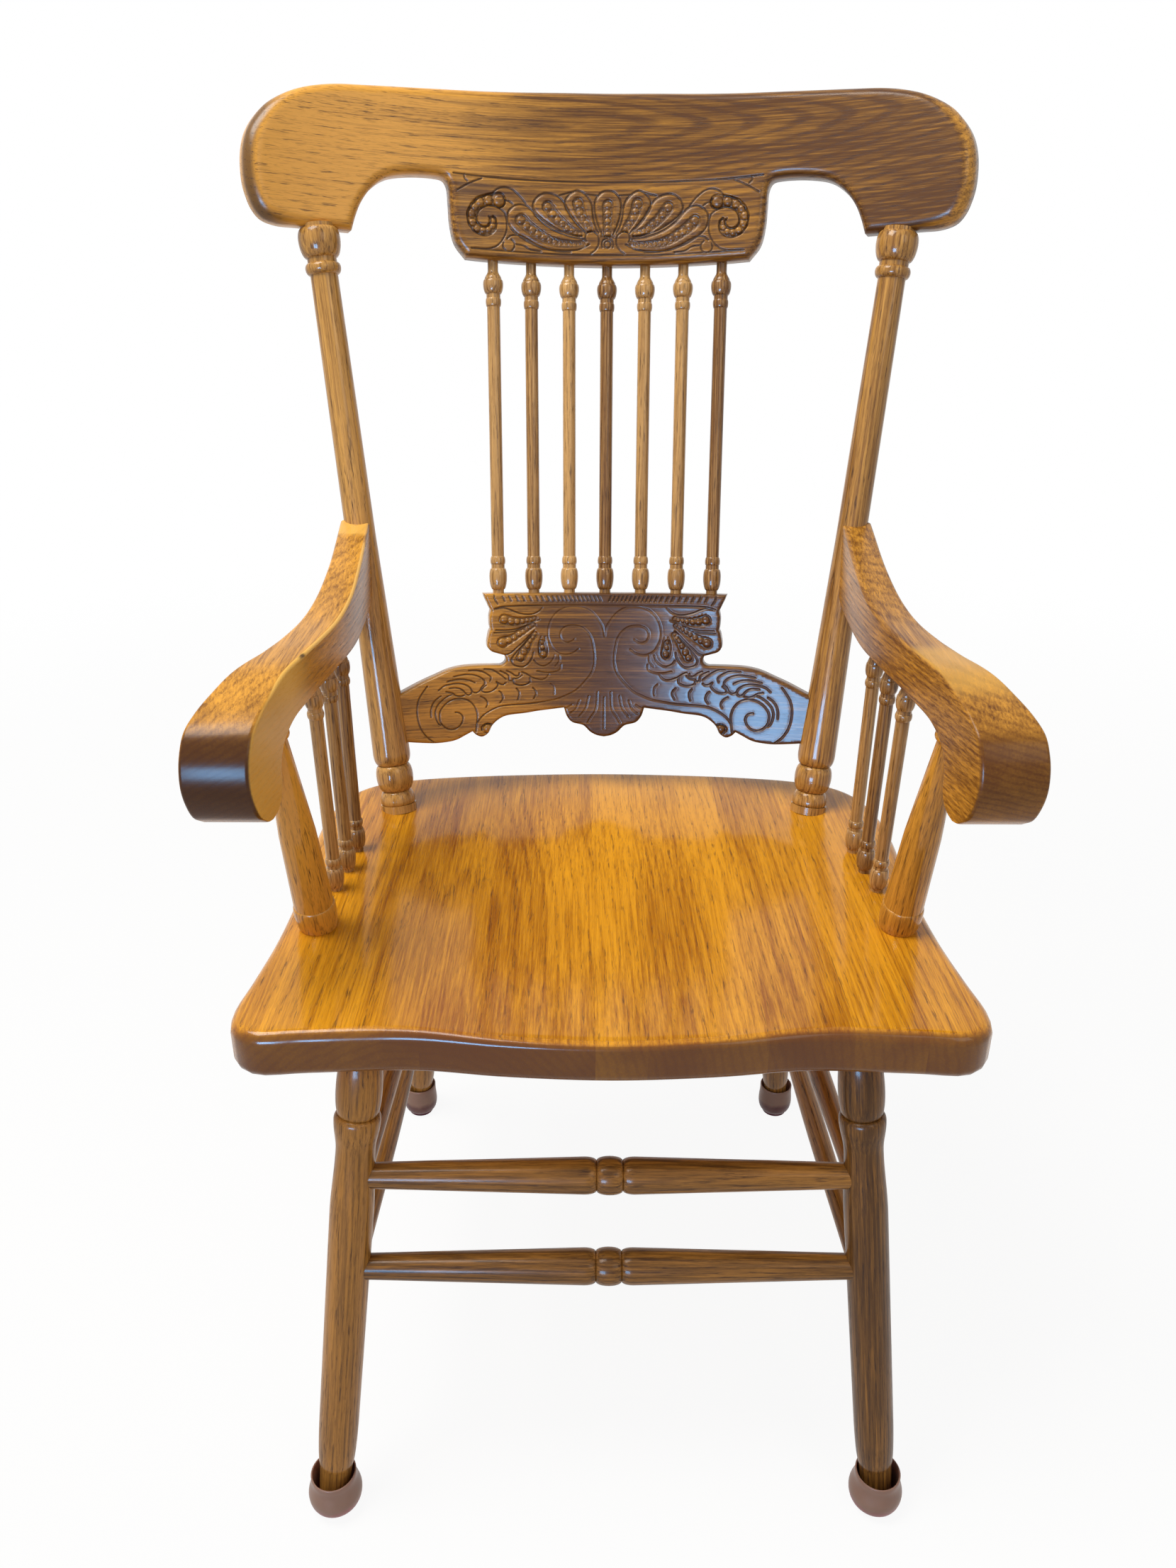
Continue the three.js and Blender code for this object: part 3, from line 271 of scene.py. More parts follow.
SPLAT_LINES = [
    [(0, 191.5), (40, 191.5), (90, 191.2), (98, 190.7), (105, 188.8)],
    [(105.3, 202.2), (104.8, 198), (101.8, 193)],
    [(59.5, 189.5), (63.4, 185.7), (68.8, 183.5), (74.9, 183.2), (81, 184.2), (86.5, 186.1),
     (91.8, 188.4), (97.2, 189.5), (103.4, 188.8)],
    [(74.9, 172.6), (81, 170.3), (88.8, 168.8), (97.2, 168.4), (104.2, 168.6)],
    [(62.6, 178), (71.1, 174.9), (78.8, 171.1), (86.5, 167.2), (98, 166.5), (105.7, 166.1)],
    [(67.2, 168), (73.4, 161.8), (79.5, 155.7), (84.9, 151.1), (90.3, 146.5), (94.9, 144.9)],
    [(68.4, 147.2), (69.5, 142.6), (72.6, 137.2), (77.2, 133.4), (82.6, 133.4), (88, 135.7),
     (89.5, 140.3), (87.2, 144.2), (82.6, 149.5), (71, 162)],
    [(57.2, 161.8), (55.3, 144.9), (59.2, 141.1), (62.6, 144.9), (63.4, 154.2), (61.1, 161.8)],
    [(48, 144.2), (50.3, 138.8), (54.9, 134.9), (59.5, 133.5), (64.9, 135.7), (68, 139.5)],
    [(43.4, 144.9), (43.4, 138.8), (47.2, 133.4)],
    [(41.8, 134.9), (42.6, 130.3), (47.2, 128), (53.4, 127.2), (59.5, 127.6), (64.9, 128.8)],
    [(53.4, 125.7), (56.5, 121.8), (60.3, 120.3), (65.7, 121.1), (71.1, 123.4), (75.7, 126.5),
     (79.5, 128)],
    [(0, 162), (1.8, 171.1), (4.9, 176.5), (9.5, 182.6), (14.9, 187.2), (21.1, 189.9),
     (28.8, 190.7), (36.5, 189.9), (43.4, 186.8), (48.8, 181.8), (52.6, 174.9), (54.2, 167.2),
     (53.8, 160.3), (51.1, 153.4), (47.2, 148), (41.1, 144.9), (36.5, 144.5), (30.3, 146.1),
     (24.9, 149.9)],
    [(28.8, 159.5), (31.1, 157.6), (35.7, 156.1), (40.3, 158), (42.6, 162.6), (41.8, 167.2),
     (38, 171.1), (31.1, 172.6), (22.6, 171.1), (16.5, 166.5), (12.6, 160.3), (10.7, 152.6),
     (9.5, 142.6), (9.9, 134.9), (12.2, 127.2), (16.5, 121.1), (22.6, 114.2), (28.8, 108.8),
     (34.9, 105.7), (41.1, 103), (48, 100.7), (56.5, 99.2), (67.2, 97.6), (78.8, 96.8),
     (90.3, 96.3), (100.5, 95.2), (106.4, 93.2), (112.1, 90.4), (117.1, 87.1), (120.7, 83.6),
     (123.2, 80)],
    [(51.8, 116.1), (49.2, 113.4), (48.4, 109.5), (48.8, 105.7)],
    [(69.2, 112.6), (66.5, 109.5), (66.1, 106.5), (68.4, 101.8)],
    [(84.9, 112.2), (82.6, 108.8), (82.6, 104.9), (83.8, 101.1)],
    [(101.8, 110), (100, 108.6), (98.2, 103.6), (98.9, 101.4), (101.1, 98.6)],
    [(119.6, 105.4), (116.4, 103.6), (113.9, 100.7), (113.2, 97.9), (114.6, 94.6)],
    [(125, 71.4), (123.9, 77.9), (123.2, 85), (123.6, 90), (125.7, 95.7), (130, 100.7),
     (135, 103.2), (140.7, 104.1), (146.4, 103.2), (152.1, 100.4), (156.4, 96.4), (159.3, 91.4),
     (159.6, 86.4), (158.6, 81.4), (155, 76.8), (150, 74.3), (145, 74.6), (140.7, 77.1),
     (137.9, 81.4), (137.1, 85), (138.6, 88.6), (141.4, 90.4), (144.3, 90.9)],
    [(147.1, 108.2), (152.1, 106.1), (157.1, 102.5), (161.4, 97.9), (163.6, 92.1), (163.2, 86.4),
     (161.4, 81.4), (158.9, 78.6)],
    [(157.9, 107.1), (162.9, 103.6), (166.4, 98.6), (167.9, 92.9), (167.9, 87.1)],
    [(170.7, 117.1), (175, 111.4), (178.6, 105.7), (180.7, 98.6), (181.1, 91.4), (180, 82.9),
     (177.1, 75), (172.1, 67.9), (165.7, 62.5)],
    [(108.9, 77.1), (112.1, 78.6), (116.4, 77.9), (119.3, 75), (118.9, 72.1)],
    [(71.8, 122.6), (72.2, 118), (76.5, 115.7), (82.6, 115.3), (87.2, 117.2), (88, 119.5)],
    [(79.5, 124.9), (82.6, 122.6), (86.5, 121.8)],
    [(82.2, 127.2), (82.6, 124.9), (85.7, 124.5), (89.5, 127.2), (94.2, 129.5)],
    [(87.6, 121.8), (88.8, 119.9), (91.8, 120.3), (92.6, 124.9), (100.3, 129.5)],
    [(95.3, 118), (97.2, 116.5), (101.4, 117.1), (104.3, 119.3)],
    [(95, 121.4), (99.3, 125), (104.3, 128.6), (109.3, 131.1), (115.7, 131.8)],
    [(104.3, 119.3), (102.9, 116.4), (104.3, 113.6), (107.9, 110.7), (112.1, 109.4),
     (116.4, 109.4), (118.6, 111.4), (116.4, 114.3), (114.3, 115.7)],
    [(110.4, 120), (109.6, 123.6), (113.6, 127.1), (118.6, 129.6), (125, 130.7), (130.7, 130.6)],
    [(115.7, 117.1), (115.7, 120), (119.3, 123.6), (125, 126.1), (132.1, 127), (139.3, 126.4),
     (145, 125.4)],
    [(115.7, 117.1), (118.6, 114.3), (120, 111.4), (122.9, 109.3), (125.7, 109.3), (127.9, 110.7)],
    [(125, 118.9), (130.7, 121.4), (137.9, 122.5), (145, 122.1), (151.4, 120.7)],
    [(127.9, 110.7), (129.3, 113.6), (133.6, 116.8), (140.7, 118.6), (147.9, 118.2), (155, 116.4),
     (160, 112.5)],
    [(127.9, 110.7), (128.9, 108.2), (131.4, 107.1), (133.9, 108.6), (135.7, 110.7),
     (138.6, 113.2), (143.6, 114.6), (149.3, 114.3)],
    [(135, 107.1), (139.3, 106.1), (143.6, 107.1), (147.1, 109.6), (152.9, 111.1)],
    [(6.5, 108), (8, 91), (12.6, 83.4), (15.7, 78)],
    [(31.1, 95.7), (34.5, 93.6), (38, 91.8)],
    [(0, 103), (0, 86), (0, 72)],
    [(15, 104), (18, 92), (24, 84)],
    [(24, 100), (28, 91), (33, 87)],
]
SPLAT_BEADS = [
    [(96.1, 178.8, 3.9), (89.3, 177.2, 3.3), (83.8, 176.6, 2.7), (78.4, 176.8, 2.2),
     (74.2, 177.8, 1.9), (70.3, 178.4, 1.6), (67.2, 179.4, 1.4)],
    [(98, 156.8, 4.2), (92, 159, 3.0), (86.5, 161.8, 2.6), (81.8, 164.7, 2.2), (78, 166.8, 1.9),
     (74.5, 169.2, 1.7), (71.5, 171.1, 1.4), (68.4, 173, 1.3)],
    [(80.7, 142.2, 3.2), (77.6, 147.6, 3.3), (74.2, 153.4, 2.6), (71.5, 158, 2.0),
     (68.8, 161.1, 1.6), (66.7, 164.3, 1.4)],
    [(58.8, 145.3, 3), (59.6, 151.5, 2.2), (60, 156.5, 1.6)],
    [(113.2, 73.9, 4.2), (113.4, 73.8, 4.2)],
]
SPLAT_NOTCHES = [
    3.9, 7.8, 11.7, 15.6, 19.5, 23.5, 27.5, 31.5, 35.5, 39.3, 43.2, 47.8, 52.8, 58.4, 63.4, 70,
    76.5, 82.6, 89.2, 95.3,
]
NOTCH_FOOT = 195.8
NOTCH_TOP = 200.6
NOTCH_LEAN = 2.2
# Widths round a pressed line: its groove, its painted shade with some darkened finish, and the lip
# beside it, which takes a painted highlight
GROOVE_WIDTH = 0.62
SHADE_AND_STAIN_WIDTH = 0.8
LIP_WIDTH = 0.6
LOBE_SHOULDER = 2.6
CHANNEL_MARGIN = 1.3

# How the boards are meshed: how far round the pressed work the points lie close, how much wider
# they lie elsewhere, their step at the back, and where a board's end begins
CLOSE_REACH = 2.4
WIDER = 4
BACK_STEP = 14
END_START = 262
END_WIDTH = 40

# How much lighter or darker the colour is made, from 2 or 3 for pale to -2 or -3 for dark: along
# each board, and on single turned pieces
CREST_TONES = [(-313, 2.3), (-200, 1.9), (-129, 0.8), (-60, -0.9), (0, -1.6), (300, -2.2)]
SPLAT_TONES = [(-200, 0.5), (-110, 0.1), (-50, -1.7), (0, -2.5), (200, -2.2)]
TAB_TONE = -1.1
PIECE_TONES = dict(
    right_front_leg=0.5, left_front_leg=-1.4, upper_front_stretcher=-0.6,
    lower_front_stretcher=-1, right_arm_post=1.4, left_arm_post=0.6, right_back_post=0.4,
    left_back_post=-0.4, right_front_arm_spindle=0.3, right_back_arm_spindle=-0.8,
    left_middle_arm_spindle=-0.8, back_spindle_1=0.4, back_spindle_2=-0.5, back_spindle_3=0.9,
    back_spindle_4=-1.1, back_spindle_5=0, back_spindle_6=0.3, back_spindle_7=-1.3,
)

# The camera, as the photograph gives it, with its focal length and height in pixels
CAMERA_PLACE = (-24.3, -875, 960)
CAMERA_PITCH, CAMERA_YAW, CAMERA_ROLL = math.radians(25), math.radians(-0.49), math.radians(0.39)
FOCAL_LENGTH = 1662
PHOTO_HEIGHT = 2212


def mixed(first, last, start, end, at):
    """A value between two, by a place between a start and an end."""
    return ((end - at) * first + (at - start) * last) / (end - start)


def curve(points, closed=False, per=8):
    """Samples a soft curve that runs through given points."""
    p = np.asarray(points, float)
    if closed:
        p = np.vstack([p[-1], p, p[0], p[1]])
    else:
        p = np.vstack([2 * p[0] - p[1], p, 2 * p[-1] - p[-2]])
    spans = []
    for a, b, c, d in zip(p, p[1:], p[2:], p[3:]):
        t1, t2, t3 = np.cumsum([math.sqrt(np.linalg.norm(v)) for v in (b - a, c - b, d - c)])
        t = np.linspace(t1, t2, per, endpoint=False)[:, None]
        bc = mixed(b, c, t1, t2, t)
        abc = mixed(mixed(a, b, 0, t1, t), bc, 0, t2, t)
        bcd = mixed(bc, mixed(c, d, t2, t3, t), t1, t3, t)
        spans.append(mixed(abc, bcd, t1, t2, t))
    if not closed:
        spans.append(p[-2][None])
    return np.vstack(spans)


def evenly(points, step=None, count=None):
    """The same line with its points a step apart, or a closed one in a count of points."""
    p = np.asarray(points, float)
    along = np.concatenate([[0], np.cumsum(np.linalg.norm(np.diff(p, axis=0), axis=1))])
    if step:
        at = np.linspace(0, along[-1], max(2, round(along[-1] / step) + 1))
    else:
        at = np.linspace(0, along[-1], count, endpoint=False)
    return np.column_stack([np.interp(at, along, column) for column in p.T])


def inwards(outline):
    """The way into a closed outline at each of its points."""
    ahead = np.roll(outline, -1, axis=0) - np.roll(outline, 1, axis=0)
    ahead /= np.linalg.norm(ahead, axis=1)[:, None]
    return np.column_stack([-ahead[:, 1], ahead[:, 0]])


def eased(value, start=0, width=1):
    """0 up to a start and 1 from a width beyond it, with a soft way between."""
    share = np.clip((value - start) / width, 0, 1)
    return share * share * (3 - 2 * share)


def bell(distance, width):
    """1 at no distance, and softly down to 0 beyond a width."""
    return np.exp(-((distance / width) ** 2))


def read_table(rows, at):
    """Reads a table of rows at a place between them."""
    rows = np.asarray(rows, float)
    return [float(np.interp(at, rows[:, 0], column)) for column in rows.T[1:]]


def chair_point(point, sign, z):
    """A place given by its x and y, on one side of the chair."""
    return Vector((sign * point[0], point[1], z))


def on_back(along, height, depth):
    """Places on the leaning back: along it, up its lean and square back from it."""
    y = POST_FOOT_Y + height * math.sin(RAKE) + depth * math.cos(RAKE)
    z = SEAT_TOP + height * math.cos(RAKE) - depth * math.sin(RAKE)
    return along, y, z


def on_board(face, along, height, deep):
    """Places in a bent board: along its front face, up the lean, and deep into it."""
    angle = along / BEND
    radius = BEND + deep
    return on_back(radius * np.sin(angle), height, face - BEND + radius * np.cos(angle))


def post_at(sign, height):
    """A point of a back post's middle line."""
    spread = POST_FOOT + (POST_TOP - POST_FOOT) * height / CREST_FOOT
    return Vector(on_back(sign * spread, height, 0))


def partway(start, end, distance):
    """A point on the way from one point to another."""
    return start + (end - start).normalized() * distance


def towards(start, end):
    """The turn and place that carry +z from one point towards another."""
    turn = Vector((0, 0, 1)).rotation_difference(end - start)
    return Matrix.Translation(start) @ turn.to_matrix().to_4x4()


def scoop(x, y, depth):
    """How deep the seat is scooped at a point."""
    reach = SCOOP_FRONT if y < SCOOP_MIDDLE else SCOOP_BACK
    away = math.hypot(x / SCOOP_HALF_WIDTH, (y - SCOOP_MIDDLE) / reach)
    return depth * (1 - eased(away, 0.1, 0.9))


def as_mesh(shape, name):
    """Ends a bmesh as a new mesh."""
    mesh = bpy.data.meshes.new(name)
    shape.to_mesh(mesh)
    shape.free()
    return mesh


def spun(points, sides):
    """Turns a chain of points, as radius and height, into a shell round the z axis."""
    shape = bmesh.new()
    chain = [shape.verts.new((radius, 0, height)) for radius, height in points]
    edges = [shape.edges.new(pair) for pair in zip(chain, chain[1:])]
    bmesh.ops.spin(
        shape, geom=chain + edges, cent=(0, 0, 0), axis=(0, 0, 1), dvec=(0, 0, 0),
        angle=2 * math.pi, steps=sides, use_merge=True, use_duplicate=False,
    )
    bmesh.ops.remove_doubles(shape, verts=shape.verts, dist=1e-3)
    return shape


def read_points(mesh, facing=False):
    """A mesh's points as an array, or the way that its surface faces at each."""
    flat = np.zeros(len(mesh.vertices) * 3, np.float32)
    if facing:
        mesh.vertex_normals.foreach_get("vector", flat)
    else:
        mesh.vertices.foreach_get("co", flat)
    return flat.reshape(-1, 3).astype(float)


def finish_piece(node, mesh, slot, material, crease=50, **fields):
    """Gives a made mesh its place, fields, finish and node, and stands it in the scene."""
    mesh.transform(PLACE)
    for field, values in fields.items():
        values = np.asarray(values, np.float32)
        kind, part = ("FLOAT_VECTOR", "vector") if values.ndim == 2 else ("FLOAT", "value")
        mesh.attributes.new(field, kind, "POINT").data.foreach_set(part, values.ravel())
    mesh.shade_smooth()
    if crease:
        mesh.set_sharp_from_angle(angle=math.radians(crease))
    mesh.materials.append(material)
    piece = bpy.data.objects.new(f"{node}_dressed", mesh)
    bpy.context.scene.collection.objects.link(piece)
    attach(piece, "root")
    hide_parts(node)


class Turning:
    """A turned piece, drawn from its foot along its middle line."""

    def __init__(self, radius):
        self.length = 0
        self.radius = radius
        self.points = [(0, 0), (radius, 0)]

    def _run(self, length, end, places):
        """Adds places as shares of the change of radius and of the length, and a bulge."""
        for out, along, bulge in places:
            radius = self.radius + (end - self.radius) * out + bulge
            self.points.append((radius, self.length + length * along))
        self.length += length
        self.radius = end
        return self

    def _turns(self, steps, whole):
        return [whole * i / steps for i in range(1, steps + 1)]

    def to(self, length, radius=None):
        """A straight run or a step to a new radius."""
        shares = (1 / 3, 2 / 3, 1) if length > 12 else (1,)
        end = self.radius if radius is None else radius
        return self._run(length, end, [(share, share, 0) for share in shares])

    def bead(self, length, peak, end=None, steps=12):
        """A half-round ring or ball that stands out to a peak and comes back."""
        end = self.radius if end is None else end
        bulge = peak - (self.radius + end) / 2
        places = []
        for turn in self._turns(steps, math.pi):
            along = (1 - math.cos(turn)) / 2
            places.append((along, along, bulge * math.sin(turn)))
        return self._run(length, end, places)

    def flow(self, length, radius, steps=8):
        """A soft curve from one radius to the next."""
        turns = self._turns(steps, math.pi)
        places = [((1 - math.cos(turn)) / 2, turn / math.pi, 0) for turn in turns]
        return self._run(length, radius, places)

    def open(self, length, radius, steps=6):
        """A quarter round that opens out from a small radius."""
        turns = self._turns(steps, QUARTER)
        return self._run(length, radius, [(math.sin(t), 1 - math.cos(t), 0) for t in turns])

    def close(self, length, radius, steps=6):
        """A quarter round that closes in to a small radius."""
        turns = self._turns(steps, QUARTER)
        return self._run(length, radius, [(1 - math.cos(t), math.sin(t), 0) for t in turns])

    def mesh(self, name, sides, last=None):
        """The turned solid, with its middle line on +z."""
        shape = spun(self.points + [(0, self.length if last is None else last)], sides)
        bmesh.ops.recalc_face_normals(shape, faces=shape.faces)
        return as_mesh(shape, name)


def turned_piece(node, turning, foot, top, slot, material, sides, tenon=0):
    """Stands a turned piece between two points, its tenon below them, with the grain along it."""
    mesh = turning.mesh(node, sides)
    spot = read_points(mesh) * MM
    number = sorted(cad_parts).index(node)
    c, s = math.cos(number * 1.3), math.sin(number * 1.3)
    grain = np.column_stack([
        spot[:, 2] + number * 0.37,
        spot[:, 0] * c - spot[:, 1] * s + math.sin(number * 2.1) * 0.012,
        spot[:, 0] * s + spot[:, 1] * c + math.cos(number * 3.3) * 0.012,
    ])
    mesh.transform(towards(partway(foot, top, -tenon), top))
    tone = np.full(len(grain), PIECE_TONES.get(node, math.sin(number * 5.7) * 0.4))
    finish_piece(node, mesh, slot, material, 40, grain=grain, tone=tone)


def leg_turning(length):
    """A leg from its end in the cap to its tenon in the seat."""
    run = LEG_RUNS
    return (
        Turning(LEG_END)
        .to(run["ankle"], 13.2)
        .open(run["swell"], 15.9, 8)
        .to(length - sum(run.values()) - LEG_TENON, LEG_FACE)
        .flow(run["taper"], 14.8, 10)
        .flow(run["flare"], 17.6)
        .close(run["shoulder"], 14.4)
        .bead(run["vase"], 17.2, 13.5, 16)
        .to(run["neck"] + LEG_TENON)
    )


def post_turning(length):
    """A back post from its tenon in the seat to its tenon in the crest rail."""
    run = POST_RUNS
    shaft = length - sum(run.values())
    return (
        Turning(16.9)
        .to(run["disc"] + POST_TENON)
        .to(0, 14.9)
        .bead(run["ring"], 16.1, 12.4)
        .bead(run["ball"], 17.5, 13.4, 16)
        .open(run["cup"], 17.6)
        .to(shaft * 0.47, 13.5)
        .to(shaft * 0.53, 11.9)
        .bead(run["collar"], 15.3, 12.6)
        .to(run["fillet"])
        .bead(run["head"], 17.9, 14.6, 16)
        .to(POST_TENON)
    )


def small_spindle(node, size, foot, top, material, sides):
    """A small spindle with a bulb at its foot, two rings and a vase at its top."""
    turned = size["foot_run"] + size["bulb_run"] + 2 * (size["fillet_run"] + size["ring_run"])
    turned += size["vase_run"] + size["neck_run"]
    turning = (
        Turning(size["foot"])
        .to(size["tenon"] + size["foot_run"])
        .bead(size["bulb_run"], size["bulb"], size["fillet"])
        .to(size["fillet_run"])
        .bead(size["ring_run"], size["ring"], size["shaft"], 8)
        .to((top - foot).length - turned)
        .bead(size["ring_run"], size["ring"], size["fillet"], 8)
        .to(size["fillet_run"])
        .bead(size["vase_run"] * 0.62, size["vase"], size["vase_end"])
        .flow(size["vase_run"] * 0.38, size["neck"])
        .to(size["neck_run"] + size["tenon"])
    )
    turned_piece(node, turning, foot, top, "spindle_oak", material, sides, size["tenon"])


def nearest(places, samples):
    """How far each place is from the nearest of many sampled points."""
    tree = kdtree.KDTree(len(samples))
    for i, (x, y) in enumerate(samples):
        tree.insert((x, y, 0), i)
    tree.balance()
    return np.array([tree.find((x, y, 0))[2] for x, y in places])


def within(places, outline):
    """Which places lie inside a closed outline."""
    x, y = places[:, 0], places[:, 1]
    inside = np.zeros(len(places), bool)
    for (x0, y0), (x1, y1) in zip(outline, np.roll(outline, -1, axis=0)):
        if y0 != y1:
            crosses = (y0 > y) != (y1 > y)
            inside ^= crosses & (x < (x1 - x0) * (y - y0) / (y1 - y0) + x0)
    return inside


class PressedWork:
    """The relief that a hot die leaves in a board, on the right half of its unrolled face."""

    def __init__(self, lines, lobes, beads, notches=(), faint=0):
        drawn = [curve(line) if len(line) > 2 else line for line in lines]
        self.lobes = [curve(lobe) for lobe in lobes]
        self.beads = beads
        self.notches = notches
        self.faint = faint
        self.trace = np.vstack([evenly(line, 0.15) for line in drawn + self.lobes])
        detail = []
        for x, y, radius in sum(beads, []):
            for turn in np.linspace(0, 2 * math.pi, 24, endpoint=False):
                detail.append((x + radius * math.cos(turn), y + radius * math.sin(turn)))
        for x in notches:
            for share in (0, 0.5, 1):
                rise = (NOTCH_TOP - NOTCH_FOOT) * share
                detail.append((x + NOTCH_LEAN * share, NOTCH_FOOT + rise))
        self.detail = np.vstack([self.trace, detail])

    def relief(self, places, look):
        """Height of the face at each place, and painted shade in hollows and highlight on rises.
        """
        height = np.zeros(len(places))
        dark = np.zeros(len(places))
        to_line = nearest(places, self.trace)
        for lobe in self.lobes:
            inside = within(places, lobe)
            height[inside] = look.lobe_rise * (1 - bell(to_line[inside], LOBE_SHOULDER))
        for row in self.beads:
            self._channel(places, row, height, dark, look)
        firm = 1 - self.faint * (1 - eased(places[:, 0], 50, 25))
        groove = firm * look.groove_depth
        height += groove * 0.12 * bell(to_line - 1.6, LIP_WIDTH)
        height -= groove * bell(to_line, GROOVE_WIDTH)
        # Painted shade along each pressed line, with some darkened finish, and a painted highlight
        # on the lip beside it
        dark = np.maximum(dark, firm * bell(to_line, SHADE_AND_STAIN_WIDTH))
        dark -= firm * 0.2 * bell(to_line - 1.8, LIP_WIDTH)
        for x in self.notches:
            self._notch(places, x, height, dark, look)
        return height, dark

    def _channel(self, places, row, height, dark, look):
        path = evenly(row, 0.5)
        low = path[:, :2].min(0) - 9
        high = path[:, :2].max(0) + 9
        near = np.nonzero(((places > low) & (places < high)).all(1))[0]
        if not len(near):
            return
        spots = places[near]
        gap = np.full(len(near), 99.0)
        for x, y, radius in path:
            away = np.hypot(spots[:, 0] - x, spots[:, 1] - y)
            gap = np.minimum(gap, away - radius - CHANNEL_MARGIN)
        sunk = eased(0.5 - gap / 0.9)
        rise = height[near] - look.bead_sink * sunk
        # Painted shade in the channel round the beads
        shade = np.maximum(dark[near], 0.55 * sunk)
        for x, y, radius in row:
            away = np.hypot(spots[:, 0] - x, spots[:, 1] - y) / radius
            dome = np.sqrt(np.clip(1 - away**2, 0, 1)) * radius * look.bead_rise
            on = away < 1
            rise[on] = -look.bead_sink + dome[on]
            # Painted shade on each bead's rim and a painted highlight on its top
            shade[on] = np.where(away[on] > 0.75, (away[on] - 0.75) * 2.6, -0.3)
        height[near] = rise
        dark[near] = shade

    def _notch(self, places, x, height, dark, look):
        up = (places[:, 1] - NOTCH_FOOT) / (NOTCH_TOP - NOTCH_FOOT)
        middle = x + NOTCH_LEAN * np.clip(up, 0, 1)
        beyond = np.maximum(0, np.maximum(-up, up - 1)) * 5
        cut = bell(np.hypot((places[:, 0] - middle) / 0.85, beyond / 0.8), 1)
        height -= look.groove_depth * 1.1 * cut
        # Painted shade in the notch
        np.maximum(dark, cut, out=dark)


def board_outline(half_runs):
    """A board's closed outline, from given runs of its right half."""
    half = [evenly(curve(run) if len(run) > 2 else run, 1.6)[:-1] for run in half_runs]
    half = np.vstack([*half, half_runs[-1][-1:]])
    half = half[half[:, 0] > 0.2]
    foot = [(0, half_runs[0][0][1])]
    top = [(0, half_runs[-1][-1][1])]
    return np.vstack([foot, half, top, half[::-1] * [-1, 1]])


def rows_of_places(low, high, step):
    """Staggered rows of places that fill the right half of a box."""
    rows = []
    for i, y in enumerate(np.arange(low[1], high[1], step * 0.866)):
        right = np.arange(0 if i % 2 else step / 2, high[0], step)
        rows.append(np.column_stack([right, np.full(len(right), y)]))
    return np.vstack(rows)


def filling(right, outline, trace, gap):
    """Places of a right half and their mirrored ones, where they clear an outline by a gap."""
    places = np.vstack([right, right[right[:, 0] > 1e-6] * [-1, 1]])
    return places[within(places, outline) & (nearest(places, trace) > gap)]


def triangulated(outline, places):
    """Triangles inside a closed outline that use every given place."""
    points = [Vector(p) for p in np.vstack([outline, places])]
    count = len(outline)
    edges = [(i, (i + 1) % count) for i in range(count)]
    made = delaunay_2d_cdt(points, edges, [], 1, 1e-5)
    return np.array([tuple(p) for p in made[0]]), made[2]


def edge_rings(outline, trace, distances):
    """Places that follow an outline at given distances inside it."""
    rings = []
    for distance in distances:
        ring = outline + inwards(outline) * distance
        rings.append(ring[nearest(ring, trace) > distance * 0.93])
    return np.vstack(rings)


def round_over(distance, radius):
    """How far a rounded edge falls away at a distance in from the outline."""
    short = np.clip(radius - distance, 0, radius)
    return radius - np.sqrt(radius**2 - short**2)


